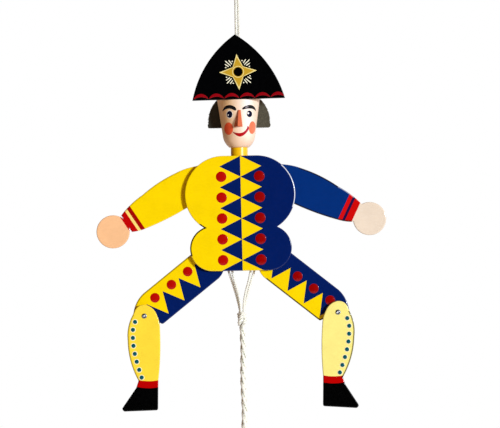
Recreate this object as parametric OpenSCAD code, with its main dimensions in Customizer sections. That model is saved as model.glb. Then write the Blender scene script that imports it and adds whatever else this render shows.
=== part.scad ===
// Painted wooden jumping jack in a soldier's costume, worked by a pull cord.
// +X is to the viewer's right, +Y is into the wall behind it and +Z is up.
// The origin is where a nail carries the hanging loop. Measures are millimetres.
// The modules draw the figure about the middle of its body, and place() hangs it.

/* [Boards] */
// Thickness of the front board and of the limbs
board_t = 4; // [3:0.5:4]
// Thickness of the back board
back_t = 3; // [2:0.5:4]
// Space between the front and the back board
gap = 9; // [9:0.5:12]
// How far the back board's edge lies inside the front board's
back_inset = 2; // [1:0.5:4]

/* [Body] */
// Radius of the two chest lobes
chest_r = 30.9; // [30:0.1:32]
// Distance of a chest lobe's centre from the middle
chest_x = 13.3; // [12:0.1:15]
// Height of the chest lobes' centres
chest_z = 14.8; // [14:0.1:16]
// Radius of the two belly lobes
belly_r = 18.1; // [17:0.1:19]
// Distance of a belly lobe's centre from the middle
belly_x = 22.6; // [21:0.1:24]
// Height of the belly lobes' centres
belly_z = -28.4; // [-30:0.1:-27]

/* [Arms] */
// Distance of a shoulder pin from the middle
shoulder_x = 29.8; // [28:0.1:31]
// Height of the shoulder pins
shoulder_z = 24; // [22:0.5:26]
// Left shoulder pin to the middle of the hand
arm_l_left = 81.7; // [76:0.1:86]
// Right shoulder pin to the middle of the hand
arm_l_right = 79.8; // [76:0.1:86]
// Radius of the round hand
hand_r = 13.3; // [11:0.1:14]
// Fall of the left arm below level at rest, in degrees
arm_drop_left = 27.4; // [20:0.1:30]
// Fall of the right arm below level at rest, in degrees
arm_drop_right = 22.5; // [20:0.1:30]

/* [Legs] */
// Distance of a hip pin from the middle
hip_x = 25.5; // [25:0.1:27]
// Height of the hip pins
hip_z = -39.7; // [-41:0.1:-38]
// Left hip pin to knee rivet
thigh_l_left = 67.2; // [62:0.1:70]
// Right hip pin to knee rivet
thigh_l_right = 65.8; // [62:0.1:70]
// Width of a thigh
thigh_w = 28.9; // [26:0.1:30]
// Fall of the left thigh below level at rest, in degrees
thigh_drop_left = 38.3; // [30:0.1:45]
// Fall of the right thigh below level at rest, in degrees
thigh_drop_right = 38.8; // [30:0.1:45]
// Knee rivet to the sole
shin_l = 76; // [72:0.1:80]
// Lean of the hanging lower legs to the left, in degrees
shin_lean = 1.4; // [0:0.1:3]

/* [Head] */
// Height of the chin above the middle of the body
chin_z = 52.4; // [50:0.1:54]
// Radius of the head at the hat's edge
brow_r = 17.1; // [16:0.1:18]
// Radius of the neck
neck_r = 6.8; // [6:0.1:7.5]
// Radius of the felt hair disc
hair_r = 24.8; // [23:0.1:26]
// Half the length of the hat's lower edge
hat_half_w = 36.9; // [34:0.1:40]
// Height of the hat
hat_h = 51.9; // [48:0.1:56]
// Distance of the hat's peak from the middle of its lower edge
hat_tip_x = -1.5; // [-3:0.1:3]
// How far the hat's two curved sides stand out
hat_bow = 6.1; // [4:0.1:8]
// Lean of the hat, in degrees
hat_lean = 0.8; // [0:0.1:3]

/* [Pins and holes] */
// Diameter of the wooden pivot pins
pin_d = 5; // [4:0.5:6]
// Clearance round a pin or rivet, on the radius
play = 0.08; // [0.04:0.01:0.1]
// Diameter of a knee rivet's shank
rivet_d = 2.6; // [2:0.2:3]
// Pivot to tie hole on every limb
tie_r = 12.85; // [12:0.05:13.5]
// Rise of the tie holes above level at rest, in degrees
tie_rise = 14; // [8:1:20]

/* [Cords] */
// Diameter of the strings and of the hanging cord
string_d = 2; // [1.6:0.1:2]
// Diameter of the twisted pull cord
pull_d = 5; // [4:0.1:5]
// Diameter of the bead on the pull cord
bead_d = 16; // [14:1:20]

/* [Hidden] */
$fn = 96;

// Side signs as the viewer sees the figure
left = -1;
right = 1;

// Turn of each step of a bowed outline, in degrees, and the shortest step
arc_step = 3;
arc_side = 1;

// Layers along Y, from the front board's face to the back board's
front_y = -gap / 2 - board_t;
limb_y = -gap / 2 + 0.4;
limb_back = limb_y + board_t;
back_y = gap / 2;
washer_t = 0.3;
knee_gap = 0.5;
shin_y = limb_y - knee_gap - board_t;
spacer_r = 4.5;
tie_h = 2;
tie_knot_r = 1.7;
ear_r = 4.5;

// Falls at which a limb's tie hole lies tie_rise above level
arm_mean = 24.7;
thigh_mean = 38.8;

// Measures of each side's limbs, and its knee at rest as [x, z]
function arm_drop(side) = side == left ? arm_drop_left : arm_drop_right;
function arm_l(side) = side == left ? arm_l_left : arm_l_right;
function thigh_drop(side) = side == left ? thigh_drop_left : thigh_drop_right;
function thigh_l(side) = side == left ? thigh_l_left : thigh_l_right;
function knee(side) = [hip_x + thigh_l(side) * cos(thigh_drop(side)),
    hip_z - thigh_l(side) * sin(thigh_drop(side))];

// Head and hat
jaw_r = 13;
jaw_z = 61.8;
hat_z = 90.3;
hat_x = 0.3;
crown_z = 103.2;
hat_y = -17.5;
hair_z = 73.4;
hair_cut_z = 68.4;
eye_z = 109;
eye_r = 3.7;
eye_wire_r = 0.8;

// The nail seat lies this far above the middle of the body
hang_h = 196;

// Half of the hanging cord's route, from under the screw eye to the nail, as [x, z]
loop_route = [[0, 110.8], [1.3, 111.4], [1.9, 113], [1.7, 117], [1.1, 122], [1.1, 130], [1.1, 138],
    [1.1, 146], [1.1, 154], [1.1, 162], [1.1, 170], [1.4, 176], [2.6, 182], [4.6, 187], [5.2, 191],
    [4.2, 194.5], [2.4, 196.4], [0, 197]];
// Right-hand routes of the strings, from the tie down to the knot, as [x, y, z]
arm_string_route = [[17.2, 3.2, 29], [16.8, 3.2, 24], [16.2, 3, 18], [15.4, 2.4, 12], [14.5, 1.7, 6],
    [13.5, 1.2, 0], [12.4, 1.15, -8], [11.1, 1.15, -16], [9.8, 1.15, -24], [8.6, 1.15, -32],
    [8, 1.15, -40], [7.2, 1.15, -48], [5.4, 1.15, -56], [3.1, 1.15, -64], [1.5, 1.15, -73],
    [1, 1.15, -82]];
leg_string_route = [[13, 3.2, -35], [12.3, 3.2, -39], [11.1, 3.2, -44], [9.4, 3.2, -50],
    [6.9, 3.2, -58], [4.3, 3.2, -67], [2.4, 3.2, -75], [1.1, 3.2, -82]];
// Route of the pull cord, from the knot to its end below the bead
pull_route = [[0, 2.2, -88], [0.1, 2.2, -98], [0.4, 2.2, -110], [0.1, 2.2, -122], [-0.1, 2.2, -134],
    [0.2, 2.2, -146], [0.6, 2.2, -158], [0.3, 2.2, -168], [0, 2.2, -176], [0, 2.2, -186],
    [0, 2.2, -198]];
knot_top = -79;
knot_l = 14;
knot_r = 4.2;
bead_z = -186;
end_knot_r = 4.2;
end_knot_l = 9;
cord_y = 2.2;

// Figure hung from the nail at the origin
module place() {
    translate([0, 0, -hang_h]) children();
}

// Drawing in the X-Z plane made into a board from y upwards, t thick
module board(y, t) {
    translate([0, y + t, 0]) rotate([90, 0, 0]) linear_extrude(t) children();
}

// Round rod along Y at [x, z], from y0 to y1
module rod(x, z, r, y0, y1) {
    translate([x, y1, z]) rotate([90, 0, 0]) cylinder(r = r, h = y1 - y0);
}

// Right-hand shape turned over for the left side
module on_side(side) {
    mirror([side == left ? 1 : 0, 0, 0]) children();
}

// Points from a towards b on an arc that stands out by bow to the right of the chord, or in if negative
function arc_points(a, b, bow) =
    let (chord = norm(b - a), side = sign(bow), rise = abs(bow), dir = (b - a) / chord,
        out = [dir[1], -dir[0]], r = rise > 0 ? (chord * chord / 4 + rise * rise) / (2 * rise) : 0,
        half = rise > 0 ? asin(min(1, chord / 2 / r)) : 0,
        steps = max(2, min(ceil(2 * half / arc_step), ceil(chord / arc_side))),
        centre = (a + b) / 2 - side * (r - rise) * out)
    rise == 0 ? [a] : [for (i = [0 : steps - 1]) let (t = 2 * half * i / steps - half)
        centre + r * (sin(t) * dir + side * cos(t) * out)];

// Outline through [x, y, bow] corners, anticlockwise, the side after each corner bowed by bow
module bowed(corners) {
    n = len(corners);
    points = [for (c = corners) [c[0], c[1]]];
    polygon([for (i = [0 : n - 1]) each arc_points(points[i], points[(i + 1) % n], corners[i][2])]);
}

// Two chest lobes and two belly lobes round a straight-sided middle, drawn in by inset
module body_outline(inset) {
    top = chest_z + chest_r - inset;
    bottom = belly_z - belly_r + inset;
    polygon([[-chest_x, top], [-chest_x, chest_z], [-belly_x, belly_z], [-belly_x, bottom],
        [belly_x, bottom], [belly_x, belly_z], [chest_x, chest_z], [chest_x, top]]);
    for (side = [left, right]) {
        translate([side * chest_x, chest_z]) circle(chest_r - inset);
        translate([side * belly_x, belly_z]) circle(belly_r - inset);
    }
}

// Every pivot pin's place, as [x, z]
function pivots() = [for (side = [left, right]) each
    [[side * shoulder_x, shoulder_z], [side * hip_x, hip_z]]];

module front_plate() {
    color("gold") difference() {
        board(front_y, board_t) body_outline(0);
        for (p = pivots()) rod(p[0], p[1], pin_d / 2, -gap / 2 - 2.5, 0);
    }
}

module back_plate() {
    color("burlywood") difference() {
        board(back_y, back_t) body_outline(back_inset);
        for (p = pivots()) rod(p[0], p[1], pin_d / 2, 0, back_y + back_t + 1);
    }
}

// Wooden pin from a blind hole in the front board through the back board
module pivot_pin(x, z) {
    color("tan") rod(x, z, pin_d / 2, -gap / 2 - 2.5, back_y + back_t);
}

// Rings on the pins in front of and behind each limb
module pivot_rings(r, y0, y1) {
    for (p = pivots()) difference() {
        rod(p[0], p[1], r, y0, y1);
        rod(p[0], p[1], pin_d / 2, y0 - 1, y1 + 1);
    }
}

module pivot_washers() {
    color("white") pivot_rings(5.5, -gap / 2, -gap / 2 + washer_t);
}

module pivot_spacers() {
    color("tan") pivot_rings(spacer_r, limb_back + 0.2, back_y);
}

module waist_spacer() {
    color("tan") rod(0, 0, 5, -gap / 2, back_y);
}

// Dowel with a flat tongue glued between the boards and a spigot in the head
module neck_dowel() {
    top = chest_z + chest_r;
    color("gold") {
        intersection() {
            translate([0, 0, top - 18]) cylinder(r = neck_r, h = 18);
            translate([-20, -gap / 2, top - 20]) cube([40, gap, 40]);
        }
        translate([0, 0, top]) cylinder(r = neck_r, h = chin_z - top);
        translate([0, 0, chin_z]) cylinder(r = 4, h = 14);
    }
}

// Turned head: round jaw, straight cheeks that widen upwards, domed crown
module head_turning() {
    rotate_extrude() bowed([[0, chin_z, 0], [7.9, chin_z, 1.1], [jaw_r, jaw_z, 0],
        [brow_r, hat_z, 2], [11.5, 101, 0.8], [0, crown_z, 0]]);
}

// Space in front of the crown that the hat fills
module hat_seat() {
    board(-30, hat_y + board_t + 30) translate([hat_x, hat_z]) rotate(hat_lean)
        translate([-60, 0]) square([120, 60]);
}

module head() {
    color("peachpuff") difference() {
        head_turning();
        hat_seat();
        translate([-30, back_y, 40]) cube([60, 30, 80]);
        translate([0, 0, chin_z - 1]) cylinder(r = 4, h = 15);
        translate([0, 0, 92]) cylinder(r = eye_wire_r, h = 20);
    }
}

// Wedge glued to the face: narrow at the brow, broad and deep at the tip
module nose() {
    tip = -19.5;
    color("salmon") difference() {
        intersection() {
            board(-25, 15) polygon([[-3.8, 68.8], [3.5, 68.8], [2.1, 82.3], [-1.2, 82.3]]);
            linear_extrude(100) polygon([[-1, tip], [7, -9], [-6, -9]]);
            rotate([90, 0, 90]) translate([0, 0, -10]) linear_extrude(20)
                polygon([[tip, 68.6], [tip + 0.9, 67], [-9, 67], [-9, 84], [-16.6, 83.5]]);
        }
        head_turning();
    }
}

// Felt disc behind the head with a straight lower edge and rounded corners
module hair() {
    half = sqrt(hair_r * hair_r - pow(hair_z - hair_cut_z - 2, 2)) - 1.2;
    color("dimgray") board(back_y, 3) {
        intersection() {
            translate([0.2, hair_z]) circle(hair_r);
            translate([-30, hair_cut_z + 2]) square([60, 40]);
        }
        translate([0.2 - half, hair_cut_z]) square([2 * half, 3]);
        for (side = [left, right]) translate([0.2 + side * half, hair_cut_z + 2]) circle(2);
    }
}

// Pointed hat: two arcs that meet above a straight edge
module hat_outline() {
    bowed([[-hat_half_w, 0, 0], [hat_half_w, 0, hat_bow], [hat_tip_x, hat_h, hat_bow]]);
}

module hat() {
    color("black") board(hat_y, board_t) translate([hat_x, hat_z]) rotate(hat_lean) hat_outline();
}

// Wire ring on a shank in the crown
module screw_eye() {
    color("silver") {
        translate([0, 0, eye_z]) rotate([0, 90, 0]) rotate_extrude()
            translate([eye_r, 0]) circle(eye_wire_r, $fn = 32);
        translate([0, 0, 92]) cylinder(r = eye_wire_r, h = eye_z - eye_r - 92);
    }
}

// Sleeve and round hand in one piece, along X from the shoulder pin at [0, 0]
module arm_outline(l) {
    bowed([[10.2, -10.4, 1.3], [57, -10.15, 0.45], [68.4, -7.3, 0], [69.7, 8.5, 1],
        [46.8, 14.8, 1.15], [14.8, 17.6, 0.7], [-1.8, 14.7, 0], [0, 0, 0]]);
    translate([0, 0.2]) circle(14.6);
    translate([l, 0]) circle(hand_r);
}

// Ear that carries the tie hole, level with the pivot when the limb falls by drop
module ear(drop) {
    rotate(180 - tie_rise + drop) translate([tie_r, 0]) circle(ear_r);
}

// Limb board turned to its fall, with its pin hole and tie hole
module limb(x, z, drop, mean_drop) {
    translate([x, 0, z]) rotate([0, drop, 0]) difference() {
        board(limb_y, board_t) {
            children();
            ear(mean_drop);
        }
        rod(0, 0, pin_d / 2 + play, limb_y - 1, limb_back + 1);
        rotate([0, tie_rise - 180 - mean_drop, 0])
            rod(tie_r, 0, string_d / 2, limb_y - 1, limb_back + 1);
    }
}

// Knotted end of a string in a limb's tie hole
module tie(x, z, drop, mean_drop) {
    translate([x, 0, z]) rotate([0, drop + tie_rise - 180 - mean_drop, 0]) {
        rod(tie_r, 0, string_d / 2, limb_y, limb_back);
        rod(tie_r, 0, tie_knot_r, limb_back, limb_back + tie_h);
    }
}

module arm(side) {
    on_side(side) limb(shoulder_x, shoulder_z, arm_drop(side), arm_mean) arm_outline(arm_l(side));
}

module arm_tie(side) {
    color("ivory") on_side(side) tie(shoulder_x, shoulder_z, arm_drop(side), arm_mean);
}

// Thigh board along X from the hip pin at [0, 0] to the knee rivet
module thigh_outline(l) {
    half = thigh_w / 2;
    bowed([[3.2, -half, 0], [l - 8.5, -half, 0.7], [l - 6.2, -12.4, 0.6], [l + 6, -7.3, 3.8],
        [l + 5.2, 7.6, 1.5], [l - 10.7, half, 0], [3.2, half, half]]);
}

module thigh(side) {
    on_side(side) difference() {
        limb(hip_x, hip_z, thigh_drop(side), thigh_mean) thigh_outline(thigh_l(side));
        rod(knee(side)[0], knee(side)[1], rivet_d / 2 + play, limb_y - 1, limb_back + 1);
    }
}

module leg_tie(side) {
    color("ivory") on_side(side) tie(hip_x, hip_z, thigh_drop(side), thigh_mean);
}

// Hollow rivet with a domed head in front and a rolled rim behind
module knee_rivet(side) {
    head_r = 2.1;
    front = shin_y - 0.05;
    back = limb_back + 0.05;
    color("silver") on_side(side) translate([knee(side)[0], 0, knee(side)[1]]) rotate([-90, 0, 0])
        rotate_extrude() bowed([[0.7, back + 0.3, 0], [0.7, front, 0], [0.9, front - 0.8, 0.15],
            [head_r, front - 0.25, 0], [head_r, front, 0], [rivet_d / 2, front, 0],
            [rivet_d / 2, back, 0], [head_r, back, 0], [head_r, back + 0.3, 0], [0.9, back + 0.6, 0]]);
}

module knee_washer(side) {
    color("white") on_side(side) difference() {
        rod(knee(side)[0], knee(side)[1], 4, limb_y - knee_gap + 0.05, limb_y - 0.05);
        rod(knee(side)[0], knee(side)[1], rivet_d / 2, limb_y - 2, limb_y + 2);
    }
}

// Calf and boot in one piece, hanging from the knee rivet at [0, 0], toe outwards
module shin_outline() {
    sole = -shin_l;
    bowed([[-10.3, sole + 0.6, 0], [15.2, sole - 0.6, 0.6], [17.1, sole + 2.1, 0],
        [6.1, -57.5, 0], [4.3, -51.9, 2.1], [13.2, -19.5, 1.9], [8.3, 2.5, 2.3], [-1, 8.9, 1.6],
        [-10, 0.6, 0.6], [-12.5, -10, 0.9], [-11.5, -51.6, 0], [-11.5, sole + 2, 0.3]]);
}

module shin(side) {
    on_side(side) difference() {
        board(shin_y, board_t) translate(knee(side)) rotate(-side * shin_lean) shin_outline();
        rod(knee(side)[0], knee(side)[1], rivet_d / 2 + play, shin_y - 1, shin_y + board_t + 1);
    }
}

// Direction of a route at point i
function along(route, i) =
    let (d = route[min(i + 1, len(route) - 1)] - route[max(i - 1, 0)]) d / norm(d);

// Ring of sides points about route point i, square to the route, aside across the cord
function ring(route, i, r, sides, aside) =
    let (t = along(route, i), u = cross(t, aside) / norm(cross(t, aside)), v = cross(t, u))
    [for (k = [0 : sides - 1]) let (a = 360 * k / sides) route[i] + r * (cos(a) * u + sin(a) * v)];

// Cord of diameter d swept along a route as one closed tube
module cord(route, d, sides) {
    n = len(route);
    points = [for (i = [0 : n - 1]) each ring(route, i, d / 2, sides, [0, 1, 0])];
    walls = [for (i = [0 : n - 2], k = [0 : sides - 1])
        let (a = i * sides + k, b = i * sides + (k + 1) % sides)
        each [[a, b, b + sides], [a, b + sides, a + sides]]];
    ends = [[for (k = [sides - 1 : -1 : 0]) k], [for (k = [0 : sides - 1]) (n - 1) * sides + k]];
    polyhedron(points, concat(walls, ends));
}

// Barrel-shaped knot about the Z axis, with its top at z
module knot(x, y, z, r, l) {
    translate([x, y, z - l]) rotate_extrude()
        bowed([[0, 0, 0], [0.6 * r, 0, 0], [r, 0.3 * l, 0], [r, 0.7 * l, 0], [0.6 * r, l, 0], [0, l, 0]]);
}

// The doubled cord passes through the screw eye, and a knot above the eye joins its ends
module hanging_loop() {
    n = len(loop_route);
    right_half = [for (p = loop_route) [p[0], 0, p[1]]];
    left_half = [for (i = [n - 2 : -1 : 0]) [-loop_route[i][0], 0, loop_route[i][1]]];
    color("ivory") cord(concat(right_half, left_half), string_d, 8);
}

module loop_knot() {
    color("ivory") knot(0, 0, 127, 2.9, 8);
}

module string(side, route) {
    color("ivory") cord([for (p = route) [side * p[0], p[1], p[2]]], string_d, 8);
}

module string_knot() {
    color("ivory") knot(0, cord_y, knot_top, knot_r, knot_l);
}

module pull_cord() {
    color("ivory") cord(pull_route, pull_d, 12);
}

module pull_bead() {
    color("gold") translate([0, cord_y, bead_z]) difference() {
        sphere(d = bead_d);
        translate([0, 0, -bead_d]) cylinder(d = pull_d + 0.1, h = 2 * bead_d);
    }
}

module end_knot() {
    color("ivory") knot(0, cord_y, bead_z - bead_d / 2 + 0.4, end_knot_r, end_knot_l);
}

module arm_left() { color("gold") arm(left); }
module arm_right() { color("navy") arm(right); }
module thigh_left() { color("gold") thigh(left); }
module thigh_right() { color("navy") thigh(right); }
module shin_left() { color("khaki") shin(left); }
module shin_right() { color("khaki") shin(right); }

place() front_plate();
place() back_plate();
place() pivot_pin(-shoulder_x, shoulder_z);  // shoulder_pin_left
place() pivot_pin(shoulder_x, shoulder_z);  // shoulder_pin_right
place() pivot_pin(-hip_x, hip_z);  // hip_pin_left
place() pivot_pin(hip_x, hip_z);  // hip_pin_right
place() pivot_washers();
place() pivot_spacers();
place() waist_spacer();
place() neck_dowel();
place() head();
place() nose();
place() hair();
place() hat();
place() screw_eye();
place() hanging_loop();
place() loop_knot();
place() arm_left();
place() arm_right();
place() arm_tie(left);  // arm_tie_left
place() arm_tie(right);  // arm_tie_right
place() thigh_left();
place() thigh_right();
place() leg_tie(left);  // leg_tie_left
place() leg_tie(right);  // leg_tie_right
place() knee_rivet(left);  // knee_rivet_left
place() knee_rivet(right);  // knee_rivet_right
place() knee_washer(left);  // knee_washer_left
place() knee_washer(right);  // knee_washer_right
place() shin_left();
place() shin_right();
place() string(left, arm_string_route);  // arm_string_left
place() string(right, arm_string_route);  // arm_string_right
place() string(left, leg_string_route);  // leg_string_left
place() string(right, leg_string_route);  // leg_string_right
place() string_knot();
place() pull_cord();
place() pull_bead();
place() end_knot();
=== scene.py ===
import math

import bmesh
import bpy
import numpy as np
from mathutils import Matrix, Vector, geometry


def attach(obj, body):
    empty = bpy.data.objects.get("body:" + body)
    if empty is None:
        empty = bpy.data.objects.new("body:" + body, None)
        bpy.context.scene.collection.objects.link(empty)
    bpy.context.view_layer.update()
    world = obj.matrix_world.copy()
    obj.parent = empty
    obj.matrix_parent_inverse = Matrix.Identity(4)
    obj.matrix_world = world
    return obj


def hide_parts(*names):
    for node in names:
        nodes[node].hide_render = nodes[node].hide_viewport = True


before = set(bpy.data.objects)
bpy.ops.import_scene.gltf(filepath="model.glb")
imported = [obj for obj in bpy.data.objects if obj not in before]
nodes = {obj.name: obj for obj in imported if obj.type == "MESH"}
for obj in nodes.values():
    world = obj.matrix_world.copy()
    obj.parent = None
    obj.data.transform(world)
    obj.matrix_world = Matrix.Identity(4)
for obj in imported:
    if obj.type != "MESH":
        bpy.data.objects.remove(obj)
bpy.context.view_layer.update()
print("frame loaded with", len(nodes), "parts")

# Shapes are drawn in the figure's own millimetres about the middle of its body
hangHeight = 196
sides = (("left", -1), ("right", 1))


def hung(points):
    # figure millimetres to metres below the nail: (x, y, z - hangHeight) / 1000
    return (np.asarray(points, float) - [0, 0, hangHeight]) / 1000


def placeObject(name, data):
    made = bpy.data.objects.new(name, data)
    bpy.context.scene.collection.objects.link(made)
    return made


# Camera: straight at the figure, rolled one degree as in the photograph
view = {"target": (0.0077, -0.0085, -0.1972), "distance": 2.0, "width": 0.4, "roll": 1.0}


def placeCamera():
    roll = math.radians(view["roll"])
    right = Vector((math.cos(roll), 0, -math.sin(roll)))
    up = Vector((math.sin(roll), 0, math.cos(roll)))
    back = Vector((0, -1, 0))
    lens = bpy.data.cameras.new("photoCamera")
    lens.lens = lens.sensor_width * view["distance"] / view["width"]
    camera = placeObject("photoCamera", lens)
    spot = Vector(view["target"]) + view["distance"] * back
    turn = Matrix((right, up, back)).transposed().to_4x4()
    camera.matrix_world = Matrix.Translation(spot) @ turn
    bpy.context.scene.camera = camera


placeCamera()
print("camera placed")


# Shader nodes

def colour(red, green, blue):
    # screen colour 0 to 255 to the linear colour that shaders take
    c = np.array([red, green, blue]) / 255
    c = np.where(c <= 0.04045, c / 12.92, ((c + 0.055) / 1.055) ** 2.4)
    return (*[float(v) for v in c], 1.0)


paints = {
    "yellow": colour(255, 220, 0),
    "blue": colour(0, 28, 96),
    "armBlue": colour(0, 47, 122),
    "dotRed": colour(184, 8, 2),
    "darkRed": colour(150, 0, 0),
    "black": colour(1, 1, 1),
    "plyLight": colour(232, 212, 176),  # the plies where paint has chipped off
    "plyDark": colour(204, 174, 130),
}
rimTints = {  # a painted rim's colour, and the shares of edge at which it starts and is full
    "dark": (colour(16, 10, 5), 0.06, 0.24),
    # the pale rim is a painted highlight along an edge that faces the light
    "pale": (colour(232, 238, 248), 0.34, 0.5),
}


class Wire:
    # a node's output; + - * / < > on it add Math nodes
    def __init__(self, node, output=0):
        self.tree, self.node, self.socket = node.id_data, node, node.outputs[output]

    def __add__(self, other):
        return calc("ADD", self, other)

    def __sub__(self, other):
        return calc("SUBTRACT", self, other)

    def __rsub__(self, other):
        return calc("SUBTRACT", other, self)

    def __mul__(self, other):
        return calc("MULTIPLY", self, other)

    def __truediv__(self, other):
        return calc("DIVIDE", self, other)

    def __lt__(self, other):
        return calc("LESS_THAN", self, other)

    def __gt__(self, other):
        return calc("GREATER_THAN", self, other)


def addNode(tree, kind, inputs=None, output=0, **settings):
    # one shader node, its inputs given as numbers or as wires; returns the wire of one output
    made = tree.nodes.new(kind)
    for key, value in settings.items():
        setattr(made, key, value)
    for key, value in (inputs or {}).items():
        if isinstance(value, Wire):
            tree.links.new(value.socket, made.inputs[key])
        else:
            made.inputs[key].default_value = value
    return Wire(made, output)


def calc(operation, *values):
    tree = next(value.tree for value in values if isinstance(value, Wire))
    return addNode(tree, "ShaderNodeMath", dict(enumerate(values)), operation=operation)


def mixed(factor, first, second, blend="MIX"):
    tree = next(value.tree for value in (factor, first, second) if isinstance(value, Wire))
    return addNode(tree, "ShaderNodeMix", {0: factor, 6: first, 7: second}, 2,
                   data_type="RGBA", blend_type=blend)


def ranged(value, *bounds):
    # value's place between the first two bounds, carried to between the last two and held there
    return addNode(value.tree, "ShaderNodeMapRange", dict(enumerate((value, *bounds))))


def between(value, low, high):
    return calc("COMPARE", value, (low + high) / 2, (high - low) / 2)


def noise(vector, scale, detail=3.0, stretch=None):
    # noise on coordinates in millimetres; stretch multiplies each axis first
    if stretch:
        vector = addNode(vector.tree, "ShaderNodeMapping", {"Vector": vector, "Scale": stretch})
    return addNode(vector.tree, "ShaderNodeTexNoise", {
        "Vector": vector, "Scale": scale, "Detail": detail}, "Fac")


def attribute(tree, name, output="Fac"):
    return addNode(tree, "ShaderNodeAttribute", output=output, attribute_name=name)


def split(vector):
    node = addNode(vector.tree, "ShaderNodeSeparateXYZ", {0: vector}).node
    return [Wire(node, axis) for axis in range(3)]


def millimetres(tree, side=1, start=(0, 0, 0), angle=0):
    # Object coordinates in millimetres; side -1 turns X over, then a turn about Y, then the start
    spot = addNode(tree, "ShaderNodeTexCoord", output="Object")
    return addNode(tree, "ShaderNodeMapping", {
        "Vector": spot, "Location": [-v for v in start], "Rotation": (0, angle, 0),
        "Scale": (side * 1000, 1000, 1000)})


def inLimb(tree, side=1, pivot=(0, 0), fall=0):
    # millimetres along (X) and across (Z) a limb that falls by fall degrees from its pivot
    angle = -math.radians(fall)
    start = Matrix.Rotation(angle, 3, "Y") @ Vector((pivot[0], 0, pivot[1] - hangHeight))
    return split(millimetres(tree, side, start, angle))


def newMaterial(name, **sockets):
    made = bpy.data.materials.new(name)
    made.use_nodes = True
    for key, value in sockets.items():
        made.node_tree.nodes["Principled BSDF"].inputs[key].default_value = value
    return made, made.node_tree


def finished(made, tone, rough, height, distance, strength):
    # colour, roughness and bump into the material's shader
    tree = made.node_tree
    bump = addNode(tree, "ShaderNodeBump", {
        "Height": height, "Distance": distance, "Strength": strength})
    for key, wire in (("Base Color", tone), ("Roughness", rough), ("Normal", bump)):
        tree.links.new(wire.socket, tree.nodes["Principled BSDF"].inputs[key])
    return made


def paint(name, pattern, gloss=0.2, grain=(0.22, 1, 1.7), chips=0.0, shine=0.22, coat=0.12,
          rims=()):
    # Brushed gloss paint on wood: mottled colour, faint grain and brush marks. Over a board's sawn
    # edge it is thin, and chips of it (from 0, none, to 1, nearly all) show the plies. A rim is a
    # stretch of edge made dark, or made pale as a painted highlight: its limb's side, pivot and
    # fall, its range along and across, its share and its colour
    made, tree = newMaterial(name, **{
        "Specular IOR Level": shine, "Coat Weight": coat, "Coat Roughness": 0.12})
    mm = millimetres(tree)
    streak = noise(mm, 0.9, 4, grain)
    edge = attribute(tree, "edge")
    shade = ranged(noise(mm, 0.09, 4), 0.3, 0.7, 0.955, 1.03)
    shade = shade * ranged(streak, 0.3, 0.7, 0.985, 1.012) * ranged(edge, 0.74, 1, 1, 0.72)
    grey = addNode(tree, "ShaderNodeCombineColor", {0: shade, 1: shade, 2: shade})
    tone = mixed(1.0, pattern(tree) if callable(pattern) else pattern, grey, "MULTIPLY")
    if chips:
        plies = calc("SINE", split(mm)[1] * 4.2)
        bare = mixed(ranged(plies, 0, 0.7, 0, 1), paints["plyLight"], paints["plyDark"])
        patch = ranged(noise(mm, 0.35, 5), 0.62 - 0.3 * chips, 0.72 - 0.3 * chips, 0, 0.9)
        tone = mixed(ranged(edge, 0.92, 1, 0, 1) * patch, tone, bare)
    for side, pivot, fall, stretch, band, share, tint in rims:
        along, _, across = inLimb(tree, side, pivot, fall)
        rimColour, start, full = rimTints[tint]
        line = between(along, *stretch) * between(across, *band)
        line = line * ranged(edge, start, full, 0, share) * ranged(edge, 0.93, 0.99, 1, 0)
        tone = mixed(line, tone, rimColour)
    rough = ranged(noise(mm, 0.5, 3), 0.3, 0.7, gloss - 0.04, gloss + 0.05)
    return finished(made, tone, rough, noise(mm, 2.4, 2) * 0.3 + streak, 0.00004, 0.35)


def bareWood(name, light, dark, grain, gloss=0.5, plies=0.0, coat=0.0):
    # Wood with grain lines and flecks; plies adds the layers that plywood shows at its edges
    made, tree = newMaterial(name, **{"Specular IOR Level": 0.35, "Coat Weight": coat})
    mm = millimetres(tree)
    lines, flecks = noise(mm, 0.55, 6, grain), noise(mm, 3.2, 3, grain)
    tone = mixed(ranged(lines, 0.35, 0.68, 0, 1), light, dark)
    tone = mixed(ranged(flecks, 0.6, 0.75, 0, 0.45), tone, dark)
    if plies:
        wave = calc("SINE", split(mm)[1] * (2 * math.pi / plies))
        tone = mixed(ranged(wave, 0.1, 0.6, 0, 0.55), tone, dark)
    rough = ranged(lines, 0.3, 0.7, gloss - 0.07, gloss + 0.1)
    return finished(made, tone, rough, lines + flecks * 0.5, 0.00006, 0.5)


def metal(name, tint, gloss):
    # Bright metal with fine scratches and a cloudy polish
    made, tree = newMaterial(name, Metallic=1.0)
    mm = millimetres(tree)
    scratch = noise(mm, 6.0, 2, (1, 1, 0.12))
    tone = mixed(ranged(noise(mm, 1.3, 4), 0.35, 0.7, 0, 0.6), tint, colour(120, 118, 112))
    rough = ranged(scratch, 0.3, 0.7, gloss - 0.06, gloss + 0.12)
    return finished(made, tone, rough, scratch, 0.00002, 0.3)


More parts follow.
